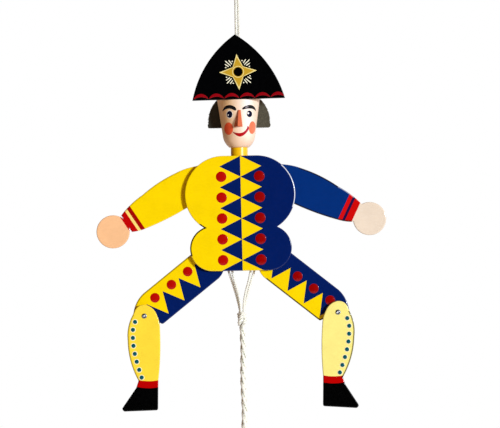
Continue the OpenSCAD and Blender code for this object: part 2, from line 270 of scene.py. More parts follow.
def cotton(name, grooveShade):
    # Twisted cotton: yarns wound the other way on each strand, fibres, and painted shade in the
    # grooves between strands, dark and olive by the share given as the second argument
    made, tree = newMaterial(name, **{
        "Sheen Weight": 0.35, "Sheen Roughness": 0.5, "Specular IOR Level": 0.15,
        "Subsurface Weight": 0.7, "Subsurface Radius": (1, 1, 1), "Subsurface Scale": 0.0012})
    lay = attribute(tree, "lay", "Vector")
    fibre = noise(lay, 1.0, 4, (5, 5, 0.9))
    x, y, s = split(lay)
    yarn = calc("SINE", calc("ARCTAN2", y, x) * 12 + s * 2.4)
    # painted shade in the grooves between the strands, made patchy by noise
    groove = ranged(attribute(tree, "crown"), 0.0, 0.42, grooveShade, 0)
    groove = groove * ranged(noise(lay, 0.45, 3), 0.4, 0.6, 0.1, 1)
    tone = mixed(ranged(fibre, 0.5, 0.8, 0, 0.3), colour(253, 254, 242), colour(214, 219, 188))
    tone = mixed(ranged(yarn, -0.55, -1, 0, 0.25), tone, colour(194, 200, 162))
    tone = mixed(groove, tone, colour(80, 91, 48))
    rough = ranged(fibre, 0.3, 0.7, 0.75, 0.95)
    return finished(made, tone, rough, yarn * 0.4 + fibre, 0.00012, 0.7)


def felt(name):
    # Pressed wool: short crossing fibres, mottled grey-olive, unevenly dyed; darkest on the left as
    # painted shade
    made, tree = newMaterial(name, **{
        "Sheen Weight": 0.4, "Sheen Roughness": 0.6, "Specular IOR Level": 0.1})
    mm = millimetres(tree)
    hairs = calc("MAXIMUM", noise(mm, 1.8, 5, (1, 1, 0.35)), noise(mm, 1.8, 5, (0.35, 1, 1)))
    tone = mixed(ranged(hairs, 0.42, 0.68, 0, 1), colour(50, 48, 38), colour(90, 87, 70))
    tone = mixed(ranged(noise(mm, 0.16, 3), 0.35, 0.7, 0, 0.5), tone, colour(60, 56, 42))
    # painted shade: darker towards the left, where the head shades the felt
    tone = mixed(ranged(split(mm)[0], 2, -12, 0, 0.7), tone, colour(24, 22, 12))
    return finished(made, tone, ranged(hairs, 0.3, 0.7, 0.98, 0.82), hairs, 0.0003, 0.8)


def nylon(name):
    made, tree = newMaterial(name, **{
        "Subsurface Weight": 0.1, "Subsurface Radius": (0.001, 0.001, 0.001)})
    mm = millimetres(tree)
    cloud = noise(mm, 0.9, 4)
    tone = mixed(cloud, colour(238, 237, 228), colour(216, 214, 202))
    rough = ranged(cloud, 0.3, 0.7, 0.38, 0.52)
    return finished(made, tone, rough, noise(mm, 5.0, 2), 0.00001, 0.4)


birchPly = bareWood("birchPly", colour(230, 198, 148), colour(193, 150, 98), (0.16, 1, 1.5), 0.5,
                    1.5)
beech = bareWood("beech", colour(222, 184, 134), colour(178, 130, 84), (1.4, 0.2, 1.4), 0.5)
twine = cotton("cottonTwine", 0.25)
thickCotton = cotton("cottonCord", 1)
print("shared finishes made")


# Mesh tools

def gridFaces(rows, columns, closedRows=False, closedColumns=False, start=0):
    # quads between the neighbours of a rows x columns grid of points
    i = np.arange(rows if closedRows else rows - 1)[:, None]
    j = np.arange(columns if closedColumns else columns - 1)[None]
    below, beside = (i + 1) % rows, (j + 1) % columns
    quads = [i * columns + j, i * columns + beside, below * columns + beside, below * columns + j]
    return (np.stack(quads, -1).reshape(-1, 4) + start).tolist()


def joined(shells):
    # several (points, faces) shells as one
    points, faces, count = [], [], 0
    for shellPoints, shellFaces in shells:
        points.append(np.reshape(shellPoints, (-1, 3)))
        faces += [[v + count for v in face] for face in shellFaces]
        count += len(points[-1])
    return np.concatenate(points), faces


def makePiece(name, body, points, faces, materials, replaced=(), faceMaterial=None,
              attributes=None, creaseAngle=38):
    # figure millimetres into a finished object: doubles merged, normals outwards, creases sharp
    mesh = bpy.data.meshes.new(name)
    mesh.from_pydata(hung(np.reshape(points, (-1, 3))).tolist(), [], faces)
    for key, values in (attributes or {}).items():
        values = np.asarray(values, float)
        if values.ndim == 1:
            mesh.attributes.new(key, "FLOAT", "POINT").data.foreach_set("value", values)
        else:
            data = mesh.attributes.new(key, "FLOAT_VECTOR", "POINT").data
            data.foreach_set("vector", values.ravel())
    for material in materials:
        mesh.materials.append(material)
    if faceMaterial is not None:
        mesh.polygons.foreach_set("material_index", faceMaterial)
    work = bmesh.new()
    work.from_mesh(mesh)
    bmesh.ops.remove_doubles(work, verts=work.verts, dist=2e-6)
    bmesh.ops.recalc_face_normals(work, faces=work.faces)
    work.to_mesh(mesh)
    work.free()
    mesh.shade_smooth()
    mesh.set_sharp_from_angle(angle=math.radians(creaseAngle))
    piece = placeObject(name, mesh)
    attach(piece, body)
    if replaced:
        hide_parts(*replaced)
    return piece


def circle(x, z, radius, count=96):
    # (x + radius * cos a, z + radius * sin a)
    angle = np.linspace(0, 2 * np.pi, count, endpoint=False)
    return np.stack([x + radius * np.cos(angle), z + radius * np.sin(angle)], -1)


def bowed(corners, closed=True, step=0.5):
    # Outline through [x, z, bow] corners. The side after a corner is an arc that stands out by its
    # bow, of radius (chord ** 2 / 4 + bow ** 2) / (2 * bow)
    corners = np.asarray(corners, float)
    last = len(corners) if closed else len(corners) - 1
    parts = []
    for k in range(last):
        start, end, bow = corners[k, :2], corners[(k + 1) % len(corners), :2], corners[k, 2]
        chord = np.linalg.norm(end - start)
        count = max(2, math.ceil(chord / step))
        t = np.linspace(-1, 1, count, endpoint=False)[:, None]
        along = (end - start) / chord
        out = np.array([along[1], -along[0]])
        if bow == 0:
            parts.append((start + end) / 2 + t * along * chord / 2)
            continue
        radius = (chord * chord / 4 + bow * bow) / (2 * abs(bow))
        half = math.asin(min(1, chord / 2 / radius))
        centre = (start + end) / 2 - np.sign(bow) * (radius - abs(bow)) * out
        swing = np.sin(t * half) * along + np.sign(bow) * np.cos(t * half) * out
        parts.append(centre + radius * swing)
    if not closed:
        parts.append(corners[-1:, :2])
    return np.concatenate(parts)


def unionLoop(*shapes):
    # outer boundary of overlapping outlines, anticlockwise: the triangle sides that are not shared
    points = [Vector(p) for shape in shapes for p in shape]
    ends = np.cumsum([0] + [len(shape) for shape in shapes])
    rings = [list(range(a, b)) for a, b in zip(ends[:-1], ends[1:])]
    corners, _, triangles, *_ = geometry.delaunay_2d_cdt(points, [], rings, 1, 1e-4)
    sides = {(t[i - 1], t[i]) for t in triangles for i in range(len(t))}
    after = {a: b for a, b in sides if (b, a) not in sides}
    first = min(after, key=lambda v: corners[v][0])
    order, here = [first], after[first]
    while here != first:
        order.append(here)
        here = after[here]
    loop = np.array([corners[v][:] for v in order])
    gap = np.linalg.norm(loop - np.roll(loop, 1, 0), axis=1)
    return anticlockwise(loop[gap > 0.1])


def unit(vectors):
    # each row divided by its length
    return vectors / np.linalg.norm(vectors, axis=1)[:, None]


def anticlockwise(loop):
    after = np.roll(loop, -1, 0)
    area = (loop[:, 0] * after[:, 1] - after[:, 0] * loop[:, 1]).sum()
    return loop if area > 0 else loop[::-1]


def drawnIn(loop, inset):
    # outline moved inwards: each corner slides by inset * (n1 + n2) / (1 + n1 . n2), with n1 and n2
    # its two sides' normals
    side = np.roll(loop, -1, 0) - loop
    normal = unit(np.stack([-side[:, 1], side[:, 0]], -1))
    before = np.roll(normal, 1, 0)
    spread = np.maximum(1 + (normal * before).sum(1), 0.4)[:, None]
    return loop + inset * (normal + before) / spread


def boardSolid(loop, front, back, edge, holes=(), margin=0.6):
    # Board with quarter-round edges: ring by ring the outline is drawn in by edge * (1 - sin a) at
    # depth edge * (1 - cos a). A hole is (x, z, radius, deepest y), open at the back.
    # Returns points, faces, the share of edge at each point, and the first face of the back
    a = np.linspace(0, np.pi / 2, 5)
    inset = np.concatenate([[edge + margin], edge * (1 - np.sin(a))])
    depth = np.concatenate([[0], edge * (1 - np.cos(a))])
    insets = np.concatenate([inset, inset[::-1]])
    depths = np.concatenate([front + depth, (back - depth)[::-1]])
    rings = np.stack([drawnIn(loop, d) for d in insets])
    n, count = len(loop), len(insets)
    wall = np.stack([rings[..., 0], np.repeat(depths[:, None], n, 1), rings[..., 1]], -1)
    points, faces = [wall.reshape(-1, 3)], gridFaces(count, n, closedColumns=True)
    total = count * n
    frontRings, backRings = [list(range(n))], [list(range((count - 1) * n, count * n))]
    for x, z, radius, deepest in holes:
        rim = circle(x, z, radius, 32)
        floor = max(deepest, front)
        points.append(np.concatenate([np.insert(rim, 1, y, 1) for y in (back, floor)]))
        faces += gridFaces(2, 32, closedColumns=True, start=total)
        backRings.append(list(range(total, total + 32)))
        if deepest <= front:
            frontRings.append(list(range(total + 32, total + 64)))
        else:
            faces.append(list(range(total + 32, total + 64)))
        total += 64
    points = np.concatenate(points)
    for face in (frontRings, backRings):
        backStart = len(faces)
        flat = [v for ring in face for v in ring]
        drawn = [[Vector((points[v, 0], points[v, 2], 0)) for v in ring] for ring in face]
        faces += [[flat[v] for v in triangle] for triangle in geometry.tessellate_polygon(drawn)]
    share = np.zeros(len(points))
    share[:count * n] = np.repeat(1 - insets / insets.max(), n)
    return points, faces, share, backStart


def makeBoard(name, body, slot, loop, front, back, edge, finishes, replaced, holes=()):
    # board with one finish for its front and edge and one for its back
    points, faces, share, backStart = boardSolid(loop, front, back, edge, holes)
    index = np.zeros(len(faces), int)
    index[backStart:] = 1
    makePiece(name, body, points, faces, finishes, replaced,
              faceMaterial=index, attributes={"edge": share})


def platePoints(loop, surface, lift=0.06, ease=0.08):
    # Painted spot as a low plate: outline on the surface, then drawn in by ease at full height
    loop = anticlockwise(np.asarray(loop, float))
    n = len(loop)
    rings = [(loop, surface + 0.05), (loop, surface - 0.5 * lift),
             (drawnIn(loop, ease), surface - lift)]
    points = np.concatenate([np.insert(ring, 1, y, 1) for ring, y in rings])
    faces = gridFaces(3, n, closedColumns=True)
    return points, faces + [list(range(n)), list(range(2 * n, 3 * n))]


def makePlates(name, body, loops, surface, material, lift=0.06, ease=0.08):
    points, faces = joined([platePoints(loop, surface, lift, ease) for loop in loops])
    makePiece(name, body, points, faces, [material])


def turnedPoints(profile, centre, axis="Z", steps=64):
    # Turned piece: point (r, h) of a closed profile goes round to (r cos a, r sin a, h) on the axis
    profile = np.asarray(profile, float)
    a = np.linspace(0, 2 * np.pi, steps, endpoint=False)[None]
    r, h = profile[:, :1], profile[:, 1:] + 0 * a
    ring = [r * np.cos(a), r * np.sin(a)]
    order = {"Z": [ring[0], ring[1], h], "Y": [ring[0], h, ring[1]]}[axis]
    points = np.stack(order, -1) + np.asarray(centre, float)
    return points, gridFaces(len(profile), steps, True, True)


# Cords

def splined(route, perSpan, closed=False):
    # Catmull-Rom curve through the route's points, with perSpan steps between two of them
    route = np.asarray(route, float)
    if closed:
        ext = np.concatenate([route[-1:], route, route[:2]])
    else:
        ext = np.concatenate([2 * route[:1] - route[1:2], route, 2 * route[-1:] - route[-2:-1]])
    spans = len(ext) - 3
    t = np.linspace(0, spans, spans * perSpan + 1)
    k = np.minimum(t.astype(int), spans - 1)
    f = (t - k)[:, None]
    p0, p1, p2, p3 = ext[k], ext[k + 1], ext[k + 2], ext[k + 3]
    return 0.5 * (2 * p1 + (p2 - p0) * f + (2 * p0 - 5 * p1 + 4 * p2 - p3) * f ** 2
                  + (3 * p1 - p0 - 3 * p2 + p3) * f ** 3)


def smoothRoute(route, spacing, closed=False):
    # the same curve resampled at an even spacing, and the length up to each of its points
    dense = splined(route, 24, closed)
    far = np.concatenate([[0], np.cumsum(np.linalg.norm(np.diff(dense, axis=0), axis=1))])
    count = max(4, int(round(far[-1] / spacing)))
    s = np.linspace(0, far[-1], count + 1)
    return np.stack([np.interp(s, far, dense[:, i]) for i in range(3)], -1), s


grooveDepth = 0.66  # a rope's radius in its grooves, as a share of the whole


def strandRadius(angle, strands, radius):
    # Outline of a bundle: the far side of the nearest strand's circle, which is
    # offset * cos a + sqrt(strand ** 2 - (offset * sin a) ** 2), with the grooves part filled
    strand = radius * math.sin(math.pi / strands) / (1 + math.sin(math.pi / strands))
    offset = radius - strand
    near = (angle + np.pi / strands) % (2 * np.pi / strands) - np.pi / strands
    half = np.sqrt(np.maximum(strand ** 2 - (offset * np.sin(near)) ** 2, 0))
    return np.maximum(offset * np.cos(near) + half, grooveDepth * radius)


def carried(centre, tangent, across, around, reach):
    # section along a path: centre + reach * (cos a * across + sin a * up), with up square to both
    up = np.cross(tangent, across)
    return centre[:, None] + reach[..., None] * (
        np.cos(around)[..., None] * across[:, None] + np.sin(around)[..., None] * up[:, None])


def domed(s, radius):
    # share of its radius that a rod with round ends has at each length s: sqrt(1 - (1 - d) ** 2),
    # where d is the way to the nearer end in radii
    near = np.minimum(s, s[-1] - s)[:, None] / radius
    return np.sqrt(np.clip(1 - np.clip(1 - near, 0, 1) ** 2, 0, 1))


def twistedTube(route, radius, strands, pitch, closed=False, away=(0, 1, 0), sides=8, rings=12,
                lay=1):
    # Rope along a route: the outline strandRadius(a - lay * 2 pi * s / pitch) is carried along it,
    # so that it turns once in each pitch, the other way round where lay is -1
    centre, s = smoothRoute(route, pitch / rings, closed)
    length, ends = s[-1], 1 if closed else domed(s, radius)
    if closed:
        centre, s = centre[:-1], s[:-1]
        tangent = unit(np.roll(centre, -1, 0) - np.roll(centre, 1, 0))
        turns = max(1, round(length / pitch))
    else:
        tangent, turns = unit(np.gradient(centre, axis=0)), length / pitch
    across = unit(np.cross(tangent, away(centre) if callable(away) else away))
    count = strands * sides
    around = np.linspace(0, 2 * np.pi, count, endpoint=False)[None]
    turned = around - lay * 2 * np.pi * turns * (s / length)[:, None]
    reach = strandRadius(turned, strands, radius)
    crown = np.clip((reach / radius - grooveDepth) / (1 - grooveDepth), 0, 1)
    points = carried(centre, tangent, across, around, reach * ends)
    spun = np.stack([np.cos(turned) * radius, np.sin(turned) * radius,
                     s[:, None] + 0 * turned], -1)
    faces = gridFaces(len(centre), count, closed, True)
    return points, faces, {"crown": crown.ravel(), "lay": spun.reshape(-1, 3)}, centre, length


cords = {
    "twine": {"radius": 1.0, "strands": 3, "pitch": 5.4, "lay": 1},
    "pull": {"radius": 2.5, "strands": 3, "pitch": 26, "lay": -1},
    "loopHalf": [(0, 110.8), (1.3, 111.4), (1.9, 113), (1.7, 117), (1.1, 122), (1.1, 130),
                 (1.1, 138), (1.1, 146), (1.1, 154), (1.1, 162), (1.1, 170), (1.4, 176),
                 (2.6, 182), (4.6, 187), (5.2, 191), (4.2, 194.5), (2.4, 196.4), (0, 197)],
    "arm": [(17.2, 3.2, 29), (16.8, 3.2, 24), (16.2, 3, 18), (15.4, 2.4, 12), (14.5, 1.7, 6),
            (13.5, 1.2, 0), (12.4, 1.15, -8), (11.1, 1.15, -16), (9.8, 1.15, -24), (8.6, 1.15, -32),
            (8, 1.15, -40), (7.2, 1.15, -48), (5.4, 1.15, -56), (3.1, 1.15, -64), (1.5, 1.15, -73),
            (1, 1.15, -82)],
    "leg": [(13, 3.2, -35), (12.3, 3.2, -39), (11.1, 3.2, -44), (9.4, 3.2, -50), (6.9, 3.2, -58),
            (4.3, 3.2, -67), (2.4, 3.2, -75), (1.1, 3.2, -82)],
    "pullRoute": [(0, 2.2, -88), (0.1, 2.2, -98), (0.4, 2.2, -110), (0.1, 2.2, -122),
                  (-0.1, 2.2, -134), (0.2, 2.2, -146), (0.6, 2.2, -158), (0.3, 2.2, -168),
                  (0, 2.2, -176), (0, 2.2, -186), (0, 2.2, -198)],
}
knots = {  # body, centre, radius, height, strand's radius, taper and finish
    "loopKnot": ("torso", (0, 0, 123), 2.9, 8, 1.25, 0, twine),
    "stringKnot": ("pull", (-0.5, 2.2, -85.6), 4.2, 12.8, 1.8, 0.16, thickCotton),
    "endKnot": ("pull", (0, 2.2, -198.1), 4.2, 9, 1.75, 0, thickCotton),
}


def makeCotton(name, body, points, faces, marks, finish, node):
    return makePiece(name, body, points, faces, [finish], [node],
                     attributes=marks, creaseAngle=80)


def makeCord(name, body, route, kind, node, closed=False):
    shape = cords[kind]
    points, faces, marks, centre, length = twistedTube(
        route, shape["radius"], shape["strands"], shape["pitch"], closed, lay=shape["lay"])
    piece = makeCotton(name, body, points, faces, marks,
                       thickCotton if kind == "pull" or closed else twine, node)
    path = hung(centre)
    if closed:
        path = np.concatenate([path, path[:1]])
    length / 1000
    return length


def knotPoints(centre, radius, height, strand, taper=0, flat=False):
    # Overhand knot: the closed curve ((a + b cos 3t) cos 2t, (a + b cos 3t) sin 2t, h sin 3t),
    # narrower downwards by taper; a flat one lies along Y
    t = np.linspace(0, 2 * np.pi, 72, endpoint=False)
    swing = (radius - strand) * (0.6 + 0.4 * np.cos(3 * t))
    curve = np.stack([swing * np.cos(2 * t), swing * np.sin(2 * t),
                      (height / 2 - strand) * np.sin(3 * t)], -1)
    points, faces, marks, *_ = twistedTube(
        curve, strand, cords["twine"]["strands"], 5.2 * strand, True,
        away=lambda c: c * [1, 1, 0], sides=7, rings=14)
    if flat:
        points = points[..., [0, 2, 1]]
    points[..., :2] *= 1 + taper * points[..., 2:] / height
    return points + np.asarray(centre, float), faces, marks


def makeKnot(name, node):
    body, *shape, finish = knots[name]
    return makeCotton(name, body, *knotPoints(*shape), finish, node)


bead = {"radius": 8.0, "bore": 2.55, "centre": (0, 2.2, -186), "ease": 0.5}


def makeBead():
    # Bead: the arc (radius * sin a, radius * cos a) and a straight bore with eased rims, turned
    bore, ease = bead["bore"], bead["ease"]
    low = math.asin((bore + ease) / bead["radius"])
    a = np.linspace(low, math.pi - low, 40)
    outer = bead["radius"] * np.stack([np.sin(a), np.cos(a)], -1)
    top = outer[0, 1]
    inner = np.array([[bore + 0.15, 0.1 - top], [bore, ease - top], [bore, top - ease],
                      [bore + 0.15, top - 0.1]])
    finish = bareWood("beadWood", colour(226, 184, 124), colour(190, 138, 84), (1.1, 1.1, 0.2),
                      0.3, coat=0.7)
    points, faces = turnedPoints(np.concatenate([outer, inner]), bead["centre"], steps=72)
    return makePiece("pullBead", "pull", points, faces, [finish], ["pull_bead"])


def makeCords():
    right = np.insert(np.array(cords["loopHalf"], float), 1, 0, 1)
    left = (right * [-1, 1, 1])[-2:0:-1]
    loopKnot = makeKnot("loopKnot", "loop_knot")
    lengths = {"hanging loop": makeCord(
        "hangingLoop", "torso", np.concatenate([right, left]), "twine", "hanging_loop",
        closed=True)}
    onCord = [makeKnot("stringKnot", "string_knot"), makeKnot("endKnot", "end_knot"), makeBead()]
    lengths["pull cord"] = makeCord(
        "pullCord", "pull", cords["pullRoute"], "pull", "pull_cord")
    for side, sign in sides:
        for limb in ("arm", "leg"):
            lengths[f"{limb} string {side}"] = makeCord(
                f"{limb}String_{side}", "pull", np.array(cords[limb]) * [sign, 1, 1], "twine",
                f"{limb}_string_{side}")
    return lengths


for cordName, cordLength in makeCords().items():
    print(f"{cordName}: {cordLength:.0f} mm")


# Body boards

torso = {
    "chest": (13.3, 14.8, 30.9), "belly": (22.6, -28.4, 18.1),  # each lobe's x, z and radius
    "front": (-8.5, -4.5), "back": (4.5, 7.5), "backInset": 2, "edge": 0.7, "backEdge": 0.4,
    "seam": 0.8, "seamLean": 0.0065, "period": 16.7, "firstPoint": 45.5, "reach": 16.8,
    "dotSpacing": {-1: 15.5, 1: 15}, "dotRadius": 4.25,
    "pinHole": (2.5, -7.0),  # radius, and the depth of the front board's blind hole
    # the pale rim along the right chest's edge is a painted highlight
    "rims": [((-45, -20), (-34, -8.5), 0.95, "dark"), ((33.5, 46), (4, 38.5), 0.8, "pale")],
}
pivots = {"arm": (29.8, 24.0), "leg": (25.5, -39.7)}


def torsoLoop(inset):
    # straight-sided middle with two chest lobes and two belly lobes
    (cx, cz, cr), (bx, bz, br) = torso["chest"], torso["belly"]
    top, bottom = cz + cr - inset, bz - br + inset
    middle = np.array([[-cx, top], [-cx, cz], [-bx, bz], [-bx, bottom],
                       [bx, bottom], [bx, bz], [cx, cz], [cx, top]])
    lobes = [circle(s * x, z, r - inset, 180)
             for s in (-1, 1) for x, z, r in (torso["chest"], torso["belly"])]
    return unionLoop(middle, *lobes)


def seamAt(z):
    return torso["seam"] - torso["seamLean"] * z


def costume(tree):
    # yellow left, blue right, and rows of triangles in the other colour on both sides of the seam
    x, _, z = inLimb(tree, pivot=(seamAt(torso["firstPoint"]), torso["firstPoint"]))
    x = z * torso["seamLean"] + x
    fold = calc("ABSOLUTE", calc("FRACT", z / torso["period"]) * 2 - 1)
    inTriangle = calc("ABSOLUTE", x) < (1 - fold) * torso["reach"]
    return mixed(calc("ABSOLUTE", (x > 0) - inTriangle), paints["yellow"], paints["blue"])


def makeTorso():
    pins = [(s * x, z) for s in (-1, 1) for x, z in pivots.values()]
    front, back = torso["front"], torso["back"]
    finish = paint("costumePaint", costume, chips=0.2, coat=0.45,
                   rims=[(1, (0, 0), 0, *rim) for rim in torso["rims"]])
    makeBoard("frontBoard", "torso", "body_paint", torsoLoop(0), *front, torso["edge"],
              (finish, birchPly), ["front_plate"],
              [(x, z, *torso["pinHole"]) for x, z in pins])
    makeBoard("backBoard", "torso", "back_wood", torsoLoop(torso["backInset"]), *back,
              torso["backEdge"], (birchPly, birchPly), ["back_plate"],
              [(x, z, torso["pinHole"][0], back[0]) for x, z in pins])
    rows = torso["firstPoint"] + 0.2 - torso["period"] * np.arange(1, 6)
    for (side, sign), tint in zip(sides, ("dotRed", "darkRed")):
        spots = [circle(seamAt(z) + sign * torso["dotSpacing"][sign], z, torso["dotRadius"], 48)
                 for z in rows]
        makePlates("coatDots_" + side, "torso", spots, front[0],
                   paint(f"coatDots_{side}Paint", paints[tint]))


makeTorso()
print("body boards done")


# Limbs

limbs = {
    "depth": (-4.1, -0.1), "edge": 0.7, "tieReach": 12.85, "tieRise": 14, "earRadius": 4.5,
    "pinHole": 2.58, "tieHole": 1.0, "rivetHole": 1.38,
    "arm": {"fall": {-1: 27.4, 1: 22.5}, "meanFall": 24.7, "length": {-1: 81.7, 1: 79.8},
            "hand": 13.3,
            "rims": {-1: [((12, 67), (0, 20), 0.2, "dark")],
                     1: [((12, 67), (-20, 0), 0.8, "dark"), ((12, 47), (0, 20), 0.8, "dark"),
                         # the pale rim on the right sleeve's upper edge near the cuff is a painted
                         # highlight
                         ((47, 62), (0, 20), 0.35, "pale")]}},
    "leg": {"fall": {-1: 38.3, 1: 38.8}, "meanFall": 38.8, "length": {-1: 67.2, 1: 65.8},
            "rims": {-1: [((5, 80), (4, 20), 0.5, "dark")],
                     1: [((4, 64), (-20, -9), 0.9, "dark")]}},
    "shinLean": 1.4, "shinDepth": (-8.6, -4.6),  # both lower legs lean to the left
    "shinRims": {-1: ((0, 20), (-53, 1), 0.4, "dark"), 1: ((0, 20), (-53, 1), 0.8, "dark")},
}


def placed(loop, sign, pivot, fall):
    # limb outline along X turned down by fall degrees, set on its pivot, turned over for the left
    a = math.radians(fall)
    x = pivot[0] + loop[:, 0] * math.cos(a) + loop[:, 1] * math.sin(a)
    z = pivot[1] - loop[:, 0] * math.sin(a) + loop[:, 1] * math.cos(a)
    return np.stack([sign * x, z], -1)


def ear(limb):
    # middle of the tail that carries the tie hole, at (reach * cos a, reach * sin a) on the limb
    a = math.radians(180 - limbs["tieRise"] + limbs[limb]["meanFall"])
    return limbs["tieReach"] * math.cos(a), limbs["tieReach"] * math.sin(a)


knees = {}
for side, sign in sides:
    reach = np.array([[limbs["leg"]["length"][sign], 0.0]])
    knees[sign] = tuple(placed(reach, 1, pivots["leg"], limbs["leg"]["fall"][sign])[0].tolist())


def armLoop(sign):
    # one outline round a sleeve with bowed sides, the shoulder's and hand's circles and the tail
    sleeve = bowed([[10.2, -10.4, 1.3], [57, -10.15, 0.45], [68.4, -7.3, 0], [69.7, 8.5, 1],
                    [46.8, 14.8, 1.15], [14.8, 17.6, 0.7], [-1.8, 14.7, 0], [0, 0, 0]])
    hand = circle(limbs["arm"]["length"][sign], 0, limbs["arm"]["hand"], 120)
    return unionLoop(sleeve, circle(0, 0.2, 14.6, 120), hand,
                     circle(*ear("arm"), limbs["earRadius"], 48))


def thighLoop(sign):
    # one outline round a thigh with bowed sides, its half-round hip and the tail
    end, half = limbs["leg"]["length"][sign], 14.45
    board = bowed([[3.2, -half, 0], [end - 8.5, -half, 0.7], [end - 6.2, -12.4, 0.6],
                   [end + 6, -7.3, 3.8], [end + 5.2, 7.6, 1.5], [end - 10.7, half, 0],
                   [3.2, half, half]])
    return unionLoop(board, circle(*ear("leg"), limbs["earRadius"], 48))


def shinLoop():
    # calf and boot, with bowed sides from the knee at (0, 0) down to the sole
    sole = -76
    return anticlockwise(bowed([
        [-10.3, sole + 0.6, 0], [15.2, sole - 0.6, 0.6], [17.1, sole + 2.1, 0], [6.1, -57.5, 0],
        [4.3, -51.9, 2.1], [13.2, -19.5, 1.9], [8.3, 2.5, 2.3], [-1, 8.9, 1.6], [-10, 0.6, 0.6],
        [-12.5, -10, 0.9], [-11.5, -51.6, 0], [-11.5, sole + 2, 0.3]]))


cuffs = {  # where each stripe begins and ends along the arm, and its slant; then the colours
    -1: {"first": (58.9, 62.2), "second": (64.5, 70.4), "slant": 0.1,
         "stripes": (colour(165, 6, 2), colour(196, 2, 4)), "gap": colour(255, 228, 124),
         "hand": colour(253, 199, 148)},
    1: {"first": (57.0, 60.2), "second": (62.4, 67.7), "slant": 0.06,
        "stripes": (colour(214, 10, 15), colour(208, 5, 5)), "gap": colour(38, 16, 68),
        # the right hand is paler than the left: a painted highlight, lit from the right
        "hand": colour(242, 226, 206)},
}


def sleevePattern(sign):
    # sleeve, two red stripes near the wrist, and the hand
    sleeve = paints["yellow"] if sign < 0 else paints["armBlue"]
    cuff = cuffs[sign]

    def pattern(tree):
        along, _, across = inLimb(tree, sign, pivots["arm"], limbs["arm"]["fall"][sign])
        along = along - across * cuff["slant"]
        tone = sleeve
        steps = ((cuff["first"][0], cuff["stripes"][0]), (cuff["first"][1], cuff["gap"]),
                 (cuff["second"][0], cuff["stripes"][1]), (cuff["second"][1], cuff["hand"]))
        for start, tint in steps:
            tone = mixed(along > start, tone, tint)
        return tone
    return pattern


zigzags = {  # first tip, period and the valley's place in it, tip and valley across, and the start
    -1: {"first": 10.4, "period": 16.55, "valley": 0.463, "tip": 6.2, "low": -10.8, "start": 10.4},
    1: {"first": 14.2, "period": 16.35, "valley": 0.575, "tip": 4.6, "low": -11.5, "start": -99},
}


def breechesPattern(sign):
    # two colours that meet in a zigzag along the thigh
    shape = zigzags[sign]
    colours = [paints[name] for name in ("yellow", "blue")][::-sign]

    def pattern(tree):
        along, _, across = inLimb(tree, sign, pivots["leg"], limbs["leg"]["fall"][sign])
        phase = calc("FRACT", (along - shape["first"]) / shape["period"])
        drop = calc("MINIMUM", phase / shape["valley"], (1 - phase) / (1 - shape["valley"]))
        line = drop * (shape["low"] - shape["tip"]) + shape["tip"]
        corner = (along < shape["start"]) * (across < shape["tip"])
        return mixed(calc("MAXIMUM", across < line, corner), *colours)
    return pattern


stockings = {  # colour and the band's top; the band is sag higher at a distance reach from middle
    -1: (colour(255, 224, 62), -52.1),
    # the right stocking is paler than the left: a painted highlight, lit from the right
    1: (colour(255, 243, 140), -51.4),
    "bandRed": colour(186, 0, 0), "bandHeight": 5.6, "middle": -3.6, "reach": 8, "sag": 0.8,
}


def stockingPattern(sign):
    # pale stocking, a sagging red band and a black boot
    stocking, top = stockings[sign]

    def pattern(tree):
        x, _, z = inLimb(tree, knee[0], *knee[1:])
        off = (x - stockings["middle"]) / stockings["reach"]
        sag = z - off * off * stockings["sag"]
        band = mixed(sag < top, stocking, stockings["bandRed"])
        return mixed(sag < top - stockings["bandHeight"], band, paints["black"])
    knee = (sign, knees[sign], sign * limbs["shinLean"])
    return pattern


dots = {  # radius and lift of each kind; those on the right stocking lie closer together
    "breeches": 3.9, "ring": (2.3, 0.05), "stocking": (1.7, 0.11), "stretch": {-1: 1, 1: 0.98},
}
stockingDots = [(7.4, -5.1), (9, -11.4), (9, -17.9), (8.5, -24.2), (7.4, -30.6), (5.8, -36.9),
                (3.8, -43.4), (1.8, -49.5)]
breechesDots = {-1: [(18.0, 5.6), (34.7, 5.7), (51.6, 5.9)],
                1: [(22.8, 2.8), (39.0, 3.0), (55.2, 3.6)]}
tie = {  # radius, height and strand of the knot; radius, strands and pitch of the string's end
    "knotY": 0.95, "knot": (1.68, 2.0, 0.55), "stub": (0.96, 3, 4.4), "stubY": (-4.08, -2, 0.6),
}


def makeTie(name, body, spot, node):
    # string's end through the tail, knotted behind it
    x, z = spot
    knot, knotFaces, knotMarks = knotPoints((x, tie["knotY"], z), *tie["knot"], flat=True)
    stub, stubFaces, stubMarks, *_ = twistedTube(
        [(x, y, z) for y in tie["stubY"]], *tie["stub"], away=(1, 0, 0))
    points, faces = joined([(knot, knotFaces), (stub, stubFaces)])
    marks = {key: np.concatenate([knotMarks[key], stubMarks[key]]) for key in knotMarks}
    makeCotton(name, body, points, faces, marks, twine, node)


def makeLimb(limb, side, sign, loop, pattern, node, slot):
    fall, pivot, front = limbs[limb]["fall"][sign], pivots[limb], limbs["depth"][0]
    spot = placed(np.array([ear(limb)]), sign, pivot, fall)[0]
    holes = [(sign * pivot[0], pivot[1], limbs["pinHole"], front), (*spot, limbs["tieHole"], front)]
    if limb == "leg":
        holes.append((sign * knees[sign][0], knees[sign][1], limbs["rivetHole"], front))
    finish = paint(node + "Paint", pattern, chips=0.2, coat=0.4,
                   rims=[(sign, pivot, fall, *rim) for rim in limbs[limb]["rims"][sign]])
    makeBoard(node + "Board", node, slot, anticlockwise(placed(loop, sign, pivot, fall)),
              *limbs["depth"], limbs["edge"], (finish, birchPly), [node], holes)
    makeTie(f"{limb}Tie_{side}", node, spot, f"{limb}_tie_{side}")


